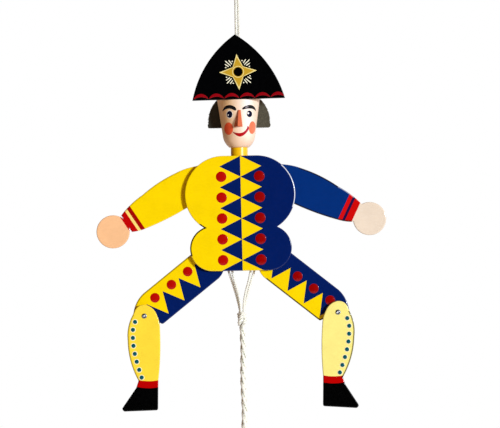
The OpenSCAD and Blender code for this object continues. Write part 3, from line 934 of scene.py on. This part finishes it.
def makeShin(side, sign, rings, marks):
    knee, lean, (front, back) = knees[sign], sign * limbs["shinLean"], limbs["shinDepth"]
    finish = paint("stockingPaint_" + side, stockingPattern(sign), chips=0.15, shine=0.1, coat=0.3,
                   rims=[(sign, knee, lean, *limbs["shinRims"][sign])])
    makeBoard("shinBoard_" + side, "shin_" + side, "cream_paint",
              anticlockwise(placed(shinLoop(), sign, knee, lean)), front, back, limbs["edge"],
              (finish, birchPly), ["shin_" + side],
              [(sign * knee[0], knee[1], limbs["rivetHole"], front)])
    spots = np.array(stockingDots) * [1, dots["stretch"][sign]] + [0, 0.3]
    spots = placed(spots, sign, knee, lean)
    for piece, (radius, lift), tint in (("dotRings_", dots["ring"], rings),
                                        ("stockingDots_", dots["stocking"], marks)):
        makePlates(piece + side, "shin_" + side,
                   [circle(x, z, radius, 32) for x, z in spots], front, tint, lift)


def makeLimbs():
    teal = paint("tealDotPaint", colour(0, 84, 98))
    pale = paint("paleRingPaint", colour(255, 246, 190))
    looks = (("yellow_paint", "dotRed"), ("blue_paint", "darkRed"))
    for (side, sign), (slot, red) in zip(sides, looks):
        makeLimb("arm", side, sign, armLoop(sign), sleevePattern(sign), "arm_" + side, slot)
        makeLimb("leg", side, sign, thighLoop(sign), breechesPattern(sign), "thigh_" + side, slot)
        spots = placed(np.array(breechesDots[sign]), sign, pivots["leg"],
                       limbs["leg"]["fall"][sign])
        makePlates("breechesDots_" + side, "thigh_" + side,
                   [circle(x, z, dots["breeches"], 48) for x, z in spots], limbs["depth"][0],
                   paint("breechesDotPaint_" + side, paints[red]))
        makeShin(side, sign, pale, teal)


makeLimbs()
print("limbs done")


# Knee rivets

rivet = {"head": 2.1, "shank": 1.3, "bore": 0.7, "front": -8.65, "back": -0.05}  # radii, depths


def makeRivets():
    # hollow rivet: the profile (r, y) of a rolled head in front, the shank and a flatter rolled rim
    # behind, turned about Y
    head, shank, bore, front, back = rivet.values()
    profile = [(bore, back + 0.3), (bore, front - 0.3), (0.76, front - 0.56), (0.95, front - 0.74),
               (1.25, front - 0.79), (1.6, front - 0.7), (1.9, front - 0.5), (2.06, front - 0.25),
               (head, front), (shank, front), (shank, back), (head, back), (2.06, back + 0.22),
               (1.75, back + 0.44), (shank, back + 0.56), (0.9, back + 0.54)]
    finish = metal("nickelTube", colour(150, 152, 158), 0.2)
    for side, sign in sides:
        points, faces = turnedPoints(profile, (sign * knees[sign][0], 0, knees[sign][1]), "Y", 56)
        makePiece("kneeRivet_" + side, "knee_" + side, points, faces, [finish],
                  ["knee_rivet_" + side], creaseAngle=50)


makeRivets()


# Head

headShape = {
    "profile": [[7.9, 52.4, 1.1], [13, 61.8, 0], [17.1, 90.3, 2], [11.5, 101, 0.8], [0, 103.2, 0]],
    "flatBack": 4.5, "seat": -13.5, "hatFoot": (0.3, 90.3), "hatLean": 0.8,
}
headProfile = bowed(headShape["profile"], closed=False, step=0.9)
paintSink = 0.15  # how far the painted features reach into the face


def headRadius(z):
    return np.interp(z, headProfile[:, 1], headProfile[:, 0])


def seatHeight(x):
    footX, footZ = headShape["hatFoot"]
    return footZ + math.tan(math.radians(headShape["hatLean"])) * (x - footX)


def makeHead(skin):
    # Turned head: at each height the front arc of the circle r, (r sin a, -r cos a), closed by a
    # straight chord at the flat back; above the hat's foot the front is cut back to the seat
    rows = np.concatenate([[[0.001, 52.4], [5, 52.4]], headProfile])
    seat = int(np.argmin(np.abs(rows[:, 1] - headShape["hatFoot"][1])))
    rows = np.insert(rows, seat, rows[seat], 0)
    r, z = rows[:, :1], rows[:, 1:]
    opening = np.arccos(-np.minimum(1, headShape["flatBack"] / np.maximum(r, 1e-3)))
    t = np.linspace(-1, 1, 121)[None]
    arcX, arcY = r * np.sin(opening * t), -r * np.cos(opening * t)
    u = np.linspace(1, -1, 15)[None, 1:-1]
    chordX, chordY = r * np.sin(opening) * u, -r * np.cos(opening) + 0 * u
    x, y = np.concatenate([arcX, chordX], 1), np.concatenate([arcY, chordY], 1)
    z = z + 0 * x
    z[seat:seat + 2] = seatHeight(x[seat:seat + 2])
    y[seat + 1:] = np.maximum(y[seat + 1:], headShape["seat"])
    points = np.stack([x, y, z], -1)
    makePiece("headBlock", "torso", points, gridFaces(*x.shape, closedColumns=True),
              [skin], ["head"], creaseAngle=42)


def facePoints(x, z, lift):
    # points of the drawing set on the face: y = -sqrt(r ** 2 - x ** 2) - lift
    r = headRadius(z)
    return np.stack([x, -np.sqrt(np.maximum(r * r - x * x, 0.01)) - lift, z], -1)


def faceSpot(x, z, rx, rz, lift=0.12, turn=0.0):
    # oval on the face: rings rho = 0..1 round its middle, raised by lift * (1 - rho ** 6)
    flat, columns = 0.75, 48
    rho = np.concatenate([np.linspace(0.001, flat, 5), [0.85, 0.94, 1]])[:, None]
    a = np.linspace(0, 2 * np.pi, columns, endpoint=False)[None]
    dx, dz = rx * rho * np.cos(a), rz * rho * np.sin(a)
    c, s = math.cos(turn), math.sin(turn)
    px, pz = x + dx * c - dz * s, z + dx * s + dz * c
    top = facePoints(px, pz, lift * (1 - rho ** 6) + 0.01)
    bottom = facePoints(px, pz, -paintSink + 0 * px)
    points = np.concatenate([top, bottom[::-1]])
    edge = np.concatenate([rho, rho[::-1]]) + 0 * points[..., 0]
    edge = np.clip((edge - flat) / (1 - flat), 0, 1)
    return points, gridFaces(len(points), columns, closedColumns=True), edge.ravel()


def faceStroke(upper, lower, lift=0.14):
    # brush stroke ruled between two smooth curves: (1 - s) * lower(t) + s * upper(t), domed across
    upper, lower = splined(upper, 8), splined(lower, 8)
    flat = 0.6
    s = np.linspace(0, 1, 9)[None]
    x, z = [lower[:, i:i + 1] * (1 - s) + upper[:, i:i + 1] * s for i in (0, 1)]
    wide = np.minimum(np.linalg.norm(upper - lower, axis=1), 1)[:, None]
    side = np.abs(2 * s - 1) + 0 * wide
    top = facePoints(x, z, lift * (1 - side ** 4) * wide + 0.01)
    bottom = facePoints(x, z, -paintSink + 0 * side)
    edge = np.clip((np.concatenate([side, side], 1) - flat) / (1 - flat), 0, 1)
    return *capped(np.concatenate([top, bottom[:, ::-1]], 1)), edge.ravel()


def capped(points):
    # faces round rows of points, and one across each end
    rows, columns = points.shape[:2]
    ends = [list(range(columns)), list(range((rows - 1) * columns, rows * columns))]
    return points, gridFaces(rows, columns, closedColumns=True) + ends


strokes = {  # upper and lower curve
    "browLeft": ([(-12.9, 81.7), (-11.6, 84.1), (-9.9, 85.4), (-7.4, 86.0), (-4.9, 85.5),
                  (-2.8, 84.3), (-1.7, 82.8)],
                 [(-12.6, 81.2), (-11.0, 82.4), (-9.1, 83.0), (-7.0, 83.1), (-4.9, 82.4),
                  (-2.9, 81.5), (-1.9, 81.8)]),
    "browRight": ([(2.9, 83.0), (3.8, 84.0), (5.9, 85.2), (8.4, 85.8), (10.9, 85.5),
                   (13.0, 84.0), (14.0, 81.3)],
                  [(3.3, 82.1), (5.0, 82.5), (7.2, 82.9), (9.6, 82.9), (11.6, 82.6),
                   (13.0, 81.7), (13.8, 80.9)]),
    "streak": ([(4.5, 83.2), (5.8, 84.1), (7.2, 84.6), (8.8, 84.7)],  # a painted highlight along the right brow
               [(4.9, 82.9), (6.1, 83.4), (7.6, 83.9), (9.0, 84.4)]),
    "mouth": ([(-5.2, 64.9), (-2.5, 63.9), (0.8, 63.6), (3.1, 64.1), (4.9, 65.4), (6.4, 67.3),
               (6.8, 69.0)],
              [(-4.9, 64.3), (-2.5, 62.0), (0.8, 60.7), (3.7, 61.7), (6.3, 64.1), (7.9, 66.6),
               (7.9, 68.9)]),
}


def mouthRedWithHighlight(tree):
    # red, darker towards the left, with a pink painted highlight at the right end
    x = split(millimetres(tree))[0]
    tone = mixed(ranged(x, -5, 0, 0, 1), colour(150, 2, 6), colour(182, 2, 12))
    return mixed(ranged(x, 3, 8, 0, 1), tone, colour(178, 40, 66))


def makeFace():
    features = {  # the paint's name, colour, gloss and shine, and its strokes or spots
        "brows": (("browPaint", colour(4, 2, 4), 0.3, 0.2),
                  faceStroke(*strokes["browLeft"]), faceStroke(*strokes["browRight"])),
        # a pale stroke painted along the right brow as a highlight
        "browStreak": (("browStreakPaint", colour(176, 160, 166), 0.3, 0.2),
                       faceStroke(*strokes["streak"], lift=0.22)),
        "eyeWhites": (("eyeWhitePaint", colour(255, 242, 226), 0.4, 0.22),
                      faceSpot(-7.2, 78.6, 2.8, 3.5, 0.05), faceSpot(8.6, 78.8, 2.8, 3.4, 0.05)),
        "eyes": (("eyePaint", colour(4, 9, 42), 0.3, 0.05),
                 faceSpot(-7.2, 78.55, 2.35, 2.95), faceSpot(8.65, 78.75, 2.3, 2.8)),
        "eyeGlints": (("glintPaint", colour(255, 253, 250), 0.3, 0.22),
                      faceSpot(-8.35, 78.1, 0.5, 0.72, 0.2), faceSpot(7.7, 79.2, 0.85, 0.95, 0.2)),
        "cheek_left": (("cheekPaint_left", colour(254, 98, 56), 0.3, 0.22),
                       faceSpot(-8.2, 67.25, 3.55, 4.95, 0.06)),
        "cheek_right": (("cheekPaint_right", colour(238, 122, 84), 0.3, 0.22),
                        faceSpot(10.7, 67.85, 2.65, 5.05, 0.06, -0.1)),
        "mouth": (("mouthPaint", mouthRedWithHighlight, 0.22, 0.22), faceStroke(*strokes["mouth"])),
    }
    for name, ((paintName, tone, gloss, shine), *shells) in features.items():
        points, faces = joined([shell[:2] for shell in shells])
        edge = np.concatenate([shell[2] for shell in shells])
        makePiece(name, "torso", points, faces,
                  [paint(paintName, tone, gloss=gloss, shine=shine)],
                  attributes={"edge": edge}, creaseAngle=60)


nose = {
    "top": 81.9, "tip": 69.2, "foot": 68.6, "left": (-0.6, -3.9), "right": (1.7, 2.95),
    "ridge": (0.1, -0.9), "front": (-16.9, -19.4),
    "under": 0.09,  # the underside's share of t, beyond the tip
    "crest": (0.006, 0.077, 0.926),  # bluntness of the ridge, and what brings its curve to 0 and 1
}


def makeNose():
    # Wedge: at height t both flanks run straight back from the ridge to the face at its edges,
    # y = front + (side - front) * (sqrt(away ** 2 + blunt) - first) / span
    under = nose["under"]
    t = np.concatenate([np.linspace(0, 1, 24), 1 + under * np.arange(1, 4) / 3])[:, None]
    wide, past = np.minimum(t, 1), np.clip((t - 1) / under, 0, 1)
    height = nose["top"] + (nose["tip"] - nose["top"]) * wide
    height = height + (nose["foot"] - nose["tip"]) * past
    low, high, ridge, front = [
        a + (b - a) * wide for a, b in (nose[key] for key in ("left", "right", "ridge", "front"))]
    front = front + past ** 1.5
    x = low + (high - low) * np.linspace(0, 1, 33)[None]
    sideX = np.where(x < ridge, low, high)
    r = headRadius(height)
    skin, sideY = [-np.sqrt(np.maximum(r * r - v * v, 1)) for v in (x, sideX)]
    away = np.abs(x - ridge) / np.abs(sideX - ridge)
    blunt, first, span = nose["crest"]
    y = front + (sideY - front) * (np.sqrt(away ** 2 + blunt) - first) / span
    top = np.stack([x, np.minimum(y, skin + 0.1), height + 0 * x], -1)
    bottom = np.stack([x, skin + 0.6, height + 0 * x], -1)
    finish = paint("nosePaint", colour(208, 99, 56), gloss=0.3, grain=(1.6, 1, 0.2))
    points, faces = capped(np.concatenate([top, bottom[:, ::-1]], 1))
    makePiece("noseWedge", "torso", points, faces, [finish], ["nose"], creaseAngle=50)


hair = {
    "radius": 24.8, "middle": (0.2, 73.4), "cut": 68.4, "corner": 2, "inset": 1.2,
    "depth": (4.5, 7.5), "edge": 0.35,
    "waves": ((0.12, 41), (0.09, 73), (0.06, 131)),  # how high and how many round the edge
}
hairFelt = felt("hairFelt")


def makeHair():
    # Felt disc with a straight foot and round corners, its edge moved by the sum of
    # high * sin(count * angle + k) over several waves
    (cx, cz), radius, cut, corner = hair["middle"], hair["radius"], hair["cut"], hair["corner"]
    half = math.sqrt(radius ** 2 - (cz - cut - corner) ** 2) - hair["inset"]
    disc = circle(cx, cz, radius, 200)
    disc = disc[disc[:, 1] >= cut + corner]
    foot = np.array([[cx - half, cut], [cx + half, cut], [cx + half, cut + 3],
                     [cx - half, cut + 3]])
    order = np.argsort(np.arctan2(disc[:, 1] - cz - 5, disc[:, 0] - cx))
    loop = unionLoop(disc[order], foot, circle(cx - half, cut + corner, corner, 32),
                     circle(cx + half, cut + corner, corner, 32))
    angle = np.arctan2(loop[:, 1] - cz, loop[:, 0] - cx)
    ragged = sum(high * np.sin(count * angle + k) for k, (high, count) in enumerate(hair["waves"]))
    points, faces, share, _ = boardSolid(drawnIn(loop, ragged[:, None]), *hair["depth"],
                                         hair["edge"], margin=0.35)
    makePiece("hairDisc", "torso", points, faces, [hairFelt], ["hair"],
              attributes={"edge": share})


fibres = {
    "count": 900, "onArc": 0.62, "footHalf": 24, "lean": 1.2, "length": (0.5, 1.3),
    "depth": (4.9, 7.1), "sway": 0.5, "radius": 0.055,
}


def makeHairFibres():
    # Loose fibres at the felt's edge: each is a three-sided sliver, thinner by 1 - 0.85 * t, along
    # root + length * (t * out + 0.6 * lean * t ** 2 * side)
    rng = np.random.default_rng(7)
    count, steps = fibres["count"], 5
    (cx, cz), radius, cut = hair["middle"], hair["radius"], hair["cut"]
    low = math.asin((cut + hair["corner"] - cz) / radius)
    onArc = (rng.random(count) < fibres["onArc"])[:, None]
    a = rng.uniform(low, math.pi - low, count)
    footX = rng.uniform(-fibres["footHalf"], fibres["footHalf"], count)
    lean = rng.uniform(-fibres["lean"], fibres["lean"], count)[:, None]
    length = rng.uniform(*fibres["length"], count)[:, None]
    depth = rng.uniform(*fibres["depth"], count)[:, None]
    sway = rng.uniform(-fibres["sway"], fibres["sway"], count)[:, None]
    arc = np.stack([np.cos(a), np.sin(a)], -1)
    root = np.where(onArc, [cx, cz] + (radius - 0.5) * arc,
                    np.stack([cx + footX, cut + 0.4 + 0 * footX], -1))
    out = np.where(onArc, arc, [0, -1])
    side = np.stack([-out[:, 1], out[:, 0]], -1)
    t = np.linspace(0, 1, steps)
    bend = (lean * t ** 2 * 0.6)[..., None]
    plane = root[:, None] + length[:, None] * (out[:, None] * t[:, None] + side[:, None] * bend)
    centre = np.stack([plane[..., 0], depth + sway * t ** 2, plane[..., 1]], -1)
    around = np.linspace(0, 2 * np.pi, 3, endpoint=False)
    thick = fibres["radius"] * (1 - 0.85 * t)[None, :, None]
    ringX, ringY = thick * np.cos(around), thick * np.sin(around)
    sideX, sideZ = side[:, None, None, 0], side[:, None, None, 1]
    points = centre[:, :, None] + np.stack([ringX * sideX, ringY + 0 * sideX, ringX * sideZ], -1)
    one = np.array(gridFaces(steps, 3, closedColumns=True))
    ends = np.array([[0, 2, 1], [3 * steps - 3, 3 * steps - 2, 3 * steps - 1]])
    base = np.arange(count)[:, None, None] * steps * 3
    faces = (one[None] + base).reshape(-1, 4).tolist() + (ends[None] + base).reshape(-1, 3).tolist()
    makePiece("hairFibres", "torso", points, faces, [hairFelt])


def skinToneWithPaintedLight(tree):
    # the paint is orange on the left and grows paler towards the right cheek, painted shade and
    # painted highlight for light from the right; beyond the cheek it is warmer again, painted shade
    # at the right edge, and it is warmer at the chin
    x, _, z = inLimb(tree)
    tone = mixed(ranged(x, -9, 7, 0, 1), colour(255, 206, 148), colour(255, 242, 234))
    tone = mixed(ranged(x, 8.5, 13, 0, 0.75), tone, colour(243, 212, 182))
    return mixed(ranged(z, 70, 56, 0, 0.7), tone, colour(254, 214, 180))


makeHead(paint("skinPaint", skinToneWithPaintedLight, gloss=0.42, grain=(0.3, 0.3, 2.2), shine=0.5))
makeFace()
makeNose()
makeHair()
makeHairFibres()
print("head done")


# Hat

hat = {
    "half": 36.9, "height": 51.9, "peak": -1.5, "bow": 6.1, "depth": (-17.5, -13.5), "edge": 0.6,
    "scallops": (-36.2, 12.28, 6, 36.3),  # first one's start, spacing, number, last one's end
}


def onHat(points):
    # hat drawing (x along its foot, z up) leaned and set on the head
    x, z = np.moveaxis(np.asarray(points, float), -1, 0)
    footX, footZ = headShape["hatFoot"]
    a = math.radians(headShape["hatLean"])
    return np.stack([footX + x * math.cos(a) - z * math.sin(a),
                     footZ + x * math.sin(a) + z * math.cos(a)], -1)


def hatLoop():
    # straight foot and two arcs that meet at the peak
    return bowed([[-hat["half"], 0, 0], [hat["half"], 0, hat["bow"]],
                  [hat["peak"], hat["height"], hat["bow"]]], step=0.8)


def scallop(k):
    # one of a row of crescents, between the arches 0.8 + 1.8 * arch and 0.95 + 4.2 * arch ** 0.85
    start, pitch, _, end = hat["scallops"]
    t = np.linspace(0.02, min(0.98, (end - start) / pitch - k), 25)
    arch = 1 - (2 * t - 1) ** 2
    x = start + pitch * (k + t)
    upper = np.stack([x, 0.95 + 4.2 * arch ** 0.85], -1)
    lower = np.stack([x, 0.8 + 1.8 * arch], -1)
    return np.concatenate([lower, upper[::-1][1:-1]])


def capsule(start, end, width):
    # bar with a half circle about each end
    start, end = np.array(start), np.array(end)
    heading = math.atan2(*(end - start)[::-1])
    a = np.linspace(-np.pi / 2, np.pi / 2, 9)
    cap = lambda p, turn: p + width / 2 * np.stack([np.cos(a + turn), np.sin(a + turn)], -1)
    return np.concatenate([cap(end, heading), cap(start, heading + math.pi)])


star = {
    "middle": (0.2, 21.9), "disc": 3.65, "ring": (4.7, 4.2),
    "corners": [(-0.7, 36.1), (-4.0, 25.7), (-15.0, 21.8), (-4.1, 17.7), (0.7, 7.4), (4.4, 18.1),
                (15.2, 22.6), (4.2, 26.1)],
    "rim": (2.4, 0.5),  # how far the gold lies inside a tip and inside a valley
    "rayWidth": 0.72, "dotRadius": 0.52,
    "bars": [((-9.6, 30.6), (-5.8, 27.0)), ((-6.9, 31.1), (-4.8, 28.3)),
             ((-9.9, 28.0), (-7.4, 26.4)), ((6.4, 31.4), (4.7, 29.0)),
             ((9.3, 31.1), (5.5, 27.6)), ((9.5, 28.5), (7.0, 26.8)),
             ((10.2, 16.1), (7.8, 17.6)), ((9.9, 13.1), (6.1, 16.3)),
             ((7.1, 12.9), (5.1, 15.4)), ((-9.2, 15.6), (-6.7, 17.4)),
             ((-8.7, 13.1), (-5.4, 16.6)), ((-6.2, 12.9), (-4.4, 15.0))],
    "dots": [(-4.2, 30.3), (-9.5, 25.6), (3.6, 30.7), (9.3, 25.9), (9.6, 18.4), (4.4, 13.2),
             (-9.1, 17.8), (-3.9, 12.9)],
}


def makeHat():
    black = paint("hatPaint", colour(2, 2, 3), grain=(0.2, 1, 1.6), shine=0.1)
    rim = paint("starRimPaint", colour(244, 228, 150))
    gold = paint("goldPaint", colour(200, 160, 40), gloss=0.3)
    makeBoard("hatBoard", "torso", "hat_paint", anticlockwise(onHat(hatLoop())), *hat["depth"],
              hat["edge"], (black, birchPly), ["hat"])
    outline, middle = np.array(star["corners"]), np.array(star["middle"])
    inner = outline + unit(middle - outline) * np.resize(star["rim"], len(outline))[:, None]
    ringOuter, ringInner, disc = (circle(*middle, r, 56) for r in (*star["ring"], star["disc"]))
    rays = [capsule(a, b, star["rayWidth"]) for a, b in star["bars"]]
    rays += [circle(x, z, star["dotRadius"], 20) for x, z in star["dots"]]
    layers = {  # outlines, finish, lift and ease of each layer of paint
        "hatScallops": ([scallop(k) for k in range(hat["scallops"][2])],
                        paint("scallopPaint", colour(146, 4, 18)), 0.06, 0.08),
        "starRim": ([outline], rim, 0.06, 0.03),
        "starGold": ([inner], gold, 0.12, 0.03),
        "starRing": ([ringOuter], rim, 0.17, 0.03),
        "starHub": ([ringInner], gold, 0.2, 0.03),
        "starDisc": ([disc], black, 0.23, 0.05),
        "starRays": (rays, paint("rayPaint", colour(255, 254, 226)), 0.04, 0.08),
    }
    for name, (loops, finish, lift, ease) in layers.items():
        makePlates(name, "torso", [onHat(loop) for loop in loops], hat["depth"][0],
                   finish, lift, ease)


makeHat()
print("hat done")


# Screw eye, neck and the hidden hardware

screwEye = {
    "centre": 109.0, "radius": 3.7, "wire": 0.8, "shank": (92.4, 104.2),
    "threadTop": 102, "threadPitch": 0.9, "threadDepth": 0.16,
}


def makeScrewEye():
    # Round wire along a shank and once round a ring. On the shank a thread is cut in by
    # depth * (0.5 + 0.5 * cos(a - 2 pi * s / pitch))
    middle, radius, pitch = screwEye["centre"], screwEye["radius"], screwEye["threadPitch"]
    a = np.linspace(-math.pi / 2 + 0.12, 1.5 * math.pi - 0.3, 60)
    ring = np.stack([0 * a, radius * np.cos(a), middle + radius * np.sin(a)], -1)
    shank = np.array([[0, 0, z] for z in np.linspace(*screwEye["shank"], 12)])
    centre, s = smoothRoute(np.concatenate([shank, [[0, 0.1, 105.0]], ring]), 0.16)
    tangent = unit(np.gradient(centre, axis=0))
    around = np.linspace(0, 2 * np.pi, 20, endpoint=False)[None]
    onShank = np.clip((screwEye["threadTop"] - centre[:, 2]) / 1.5, 0, 1) * (s < 11)
    cut = 0.5 + 0.5 * np.cos(around - 2 * np.pi * s[:, None] / pitch)
    reach = screwEye["wire"] * (1 - screwEye["threadDepth"] * onShank[:, None] * cut)
    points = carried(centre, tangent, np.array([[1.0, 0, 0]]) + 0 * tangent, around,
                     reach * domed(s, screwEye["wire"]))
    makePiece("screwEye", "torso", points, gridFaces(len(centre), 20, False, True),
              [metal("zincWire", colour(196, 197, 200), 0.3)], ["screw_eye"], creaseAngle=70)


makeScrewEye()

finishes = {
    "neck_dowel": paint("neckPaint", colour(255, 200, 0), gloss=0.3, grain=(0.3, 0.3, 2),
                        shine=0.6),
    "pivot_washers": nylon("washerNylon"), "pivot_spacers": beech, "waist_spacer": beech,
}
for sideName, _ in sides:
    finishes["shoulder_pin_" + sideName] = finishes["hip_pin_" + sideName] = beech
    finishes["knee_washer_" + sideName] = finishes["pivot_washers"]
for nodeName, finish in finishes.items():
    nodes[nodeName].data.materials.clear()
    nodes[nodeName].data.materials.append(finish)
print("hardware done")


# Floor, light and background

studio = {
    "floorDrop": -1.3, "floorHalf": 4.0, "floorGlow": (0.36, 0.42, 0.48, 1),
    "keyStrength": 3.25, "keyAngle": 9, "keyFrom": (0.85, -1, 0.2), "keyTint": (0.875, 0.965, 1.03),
    "fill": (0.06, 0.4), "backFill": 0.8,  # from the left and the right, and from behind
    "fillTint": (1.02, 0.55, 0.27, 1), "backTint": (1.1, 1.25, 1.4, 1),
}


def lightPath(tree):
    # 1 for rays that come straight from the camera, and 1 for reflections
    rays = addNode(tree, "ShaderNodeLightPath").node
    return calc("MAXIMUM", Wire(rays, "Is Camera Ray"), Wire(rays, "Is Transmission Ray")), Wire(
        rays, "Is Glossy Ray")


def makeFloor():
    # pale paper, as bright as it looks here to the camera and in reflections only, so that it
    # throws no more light on the figure
    half = studio["floorHalf"]
    mesh = bpy.data.meshes.new("floor")
    mesh.from_pydata([(x * half, y * half, studio["floorDrop"])
                      for x, y in ((-1, -1), (1, -1), (1, 1), (-1, 1))], [], [(0, 1, 2, 3)])
    made, tree = newMaterial("floorPaper", **{
        "Roughness": 0.9, "Emission Color": studio["floorGlow"]})
    seen, glossy = lightPath(tree)
    cloud = noise(millimetres(tree), 0.004, 3)
    shader = tree.nodes["Principled BSDF"]
    tree.links.new(mixed(cloud, colour(240, 240, 238), colour(246, 246, 245)).socket,
                   shader.inputs["Base Color"])
    tree.links.new(calc("MAXIMUM", seen, glossy).socket, shader.inputs["Emission Strength"])
    mesh.materials.append(made)
    placeObject("floor", mesh)


def makeLights():
    sun = bpy.data.lights.new("keyLight", "SUN")
    sun.energy = studio["keyStrength"]
    sun.angle = math.radians(studio["keyAngle"])
    sun.color = studio["keyTint"]
    lamp = placeObject("keyLight", sun)
    lamp.rotation_euler = Vector(studio["keyFrom"]).to_track_quat("Z", "Y").to_euler()

    world = bpy.data.worlds.new("studio")
    bpy.context.scene.world = world
    world.use_nodes = True
    tree = world.node_tree
    seen, glossy = lightPath(tree)
    side, depth, up = split(addNode(tree, "ShaderNodeTexCoord", output="Generated"))
    fill = ranged(side, -0.8, 0.3, *studio["fill"])
    fill = ranged(depth, 0.2, 0.6, fill, studio["backFill"])
    bright = ranged(depth * 0.45 + up * 0.5 + side, -0.1, 0.55, 0.004, 1)  # what gloss reflects
    strength = calc("MAXIMUM", seen, glossy * (bright - fill) + fill)
    tint = mixed(ranged(depth, 0.4, 0.7, 0, 1), studio["fillTint"], studio["backTint"])
    tint = mixed(calc("MAXIMUM", seen, glossy), tint, (1, 1, 1, 1))
    background = tree.nodes["Background"]
    tree.links.new(strength.socket, background.inputs["Strength"])
    tree.links.new(tint.socket, background.inputs["Color"])


makeFloor()
makeLights()
bpy.context.scene.view_settings.view_transform = "Standard"
print("studio done")
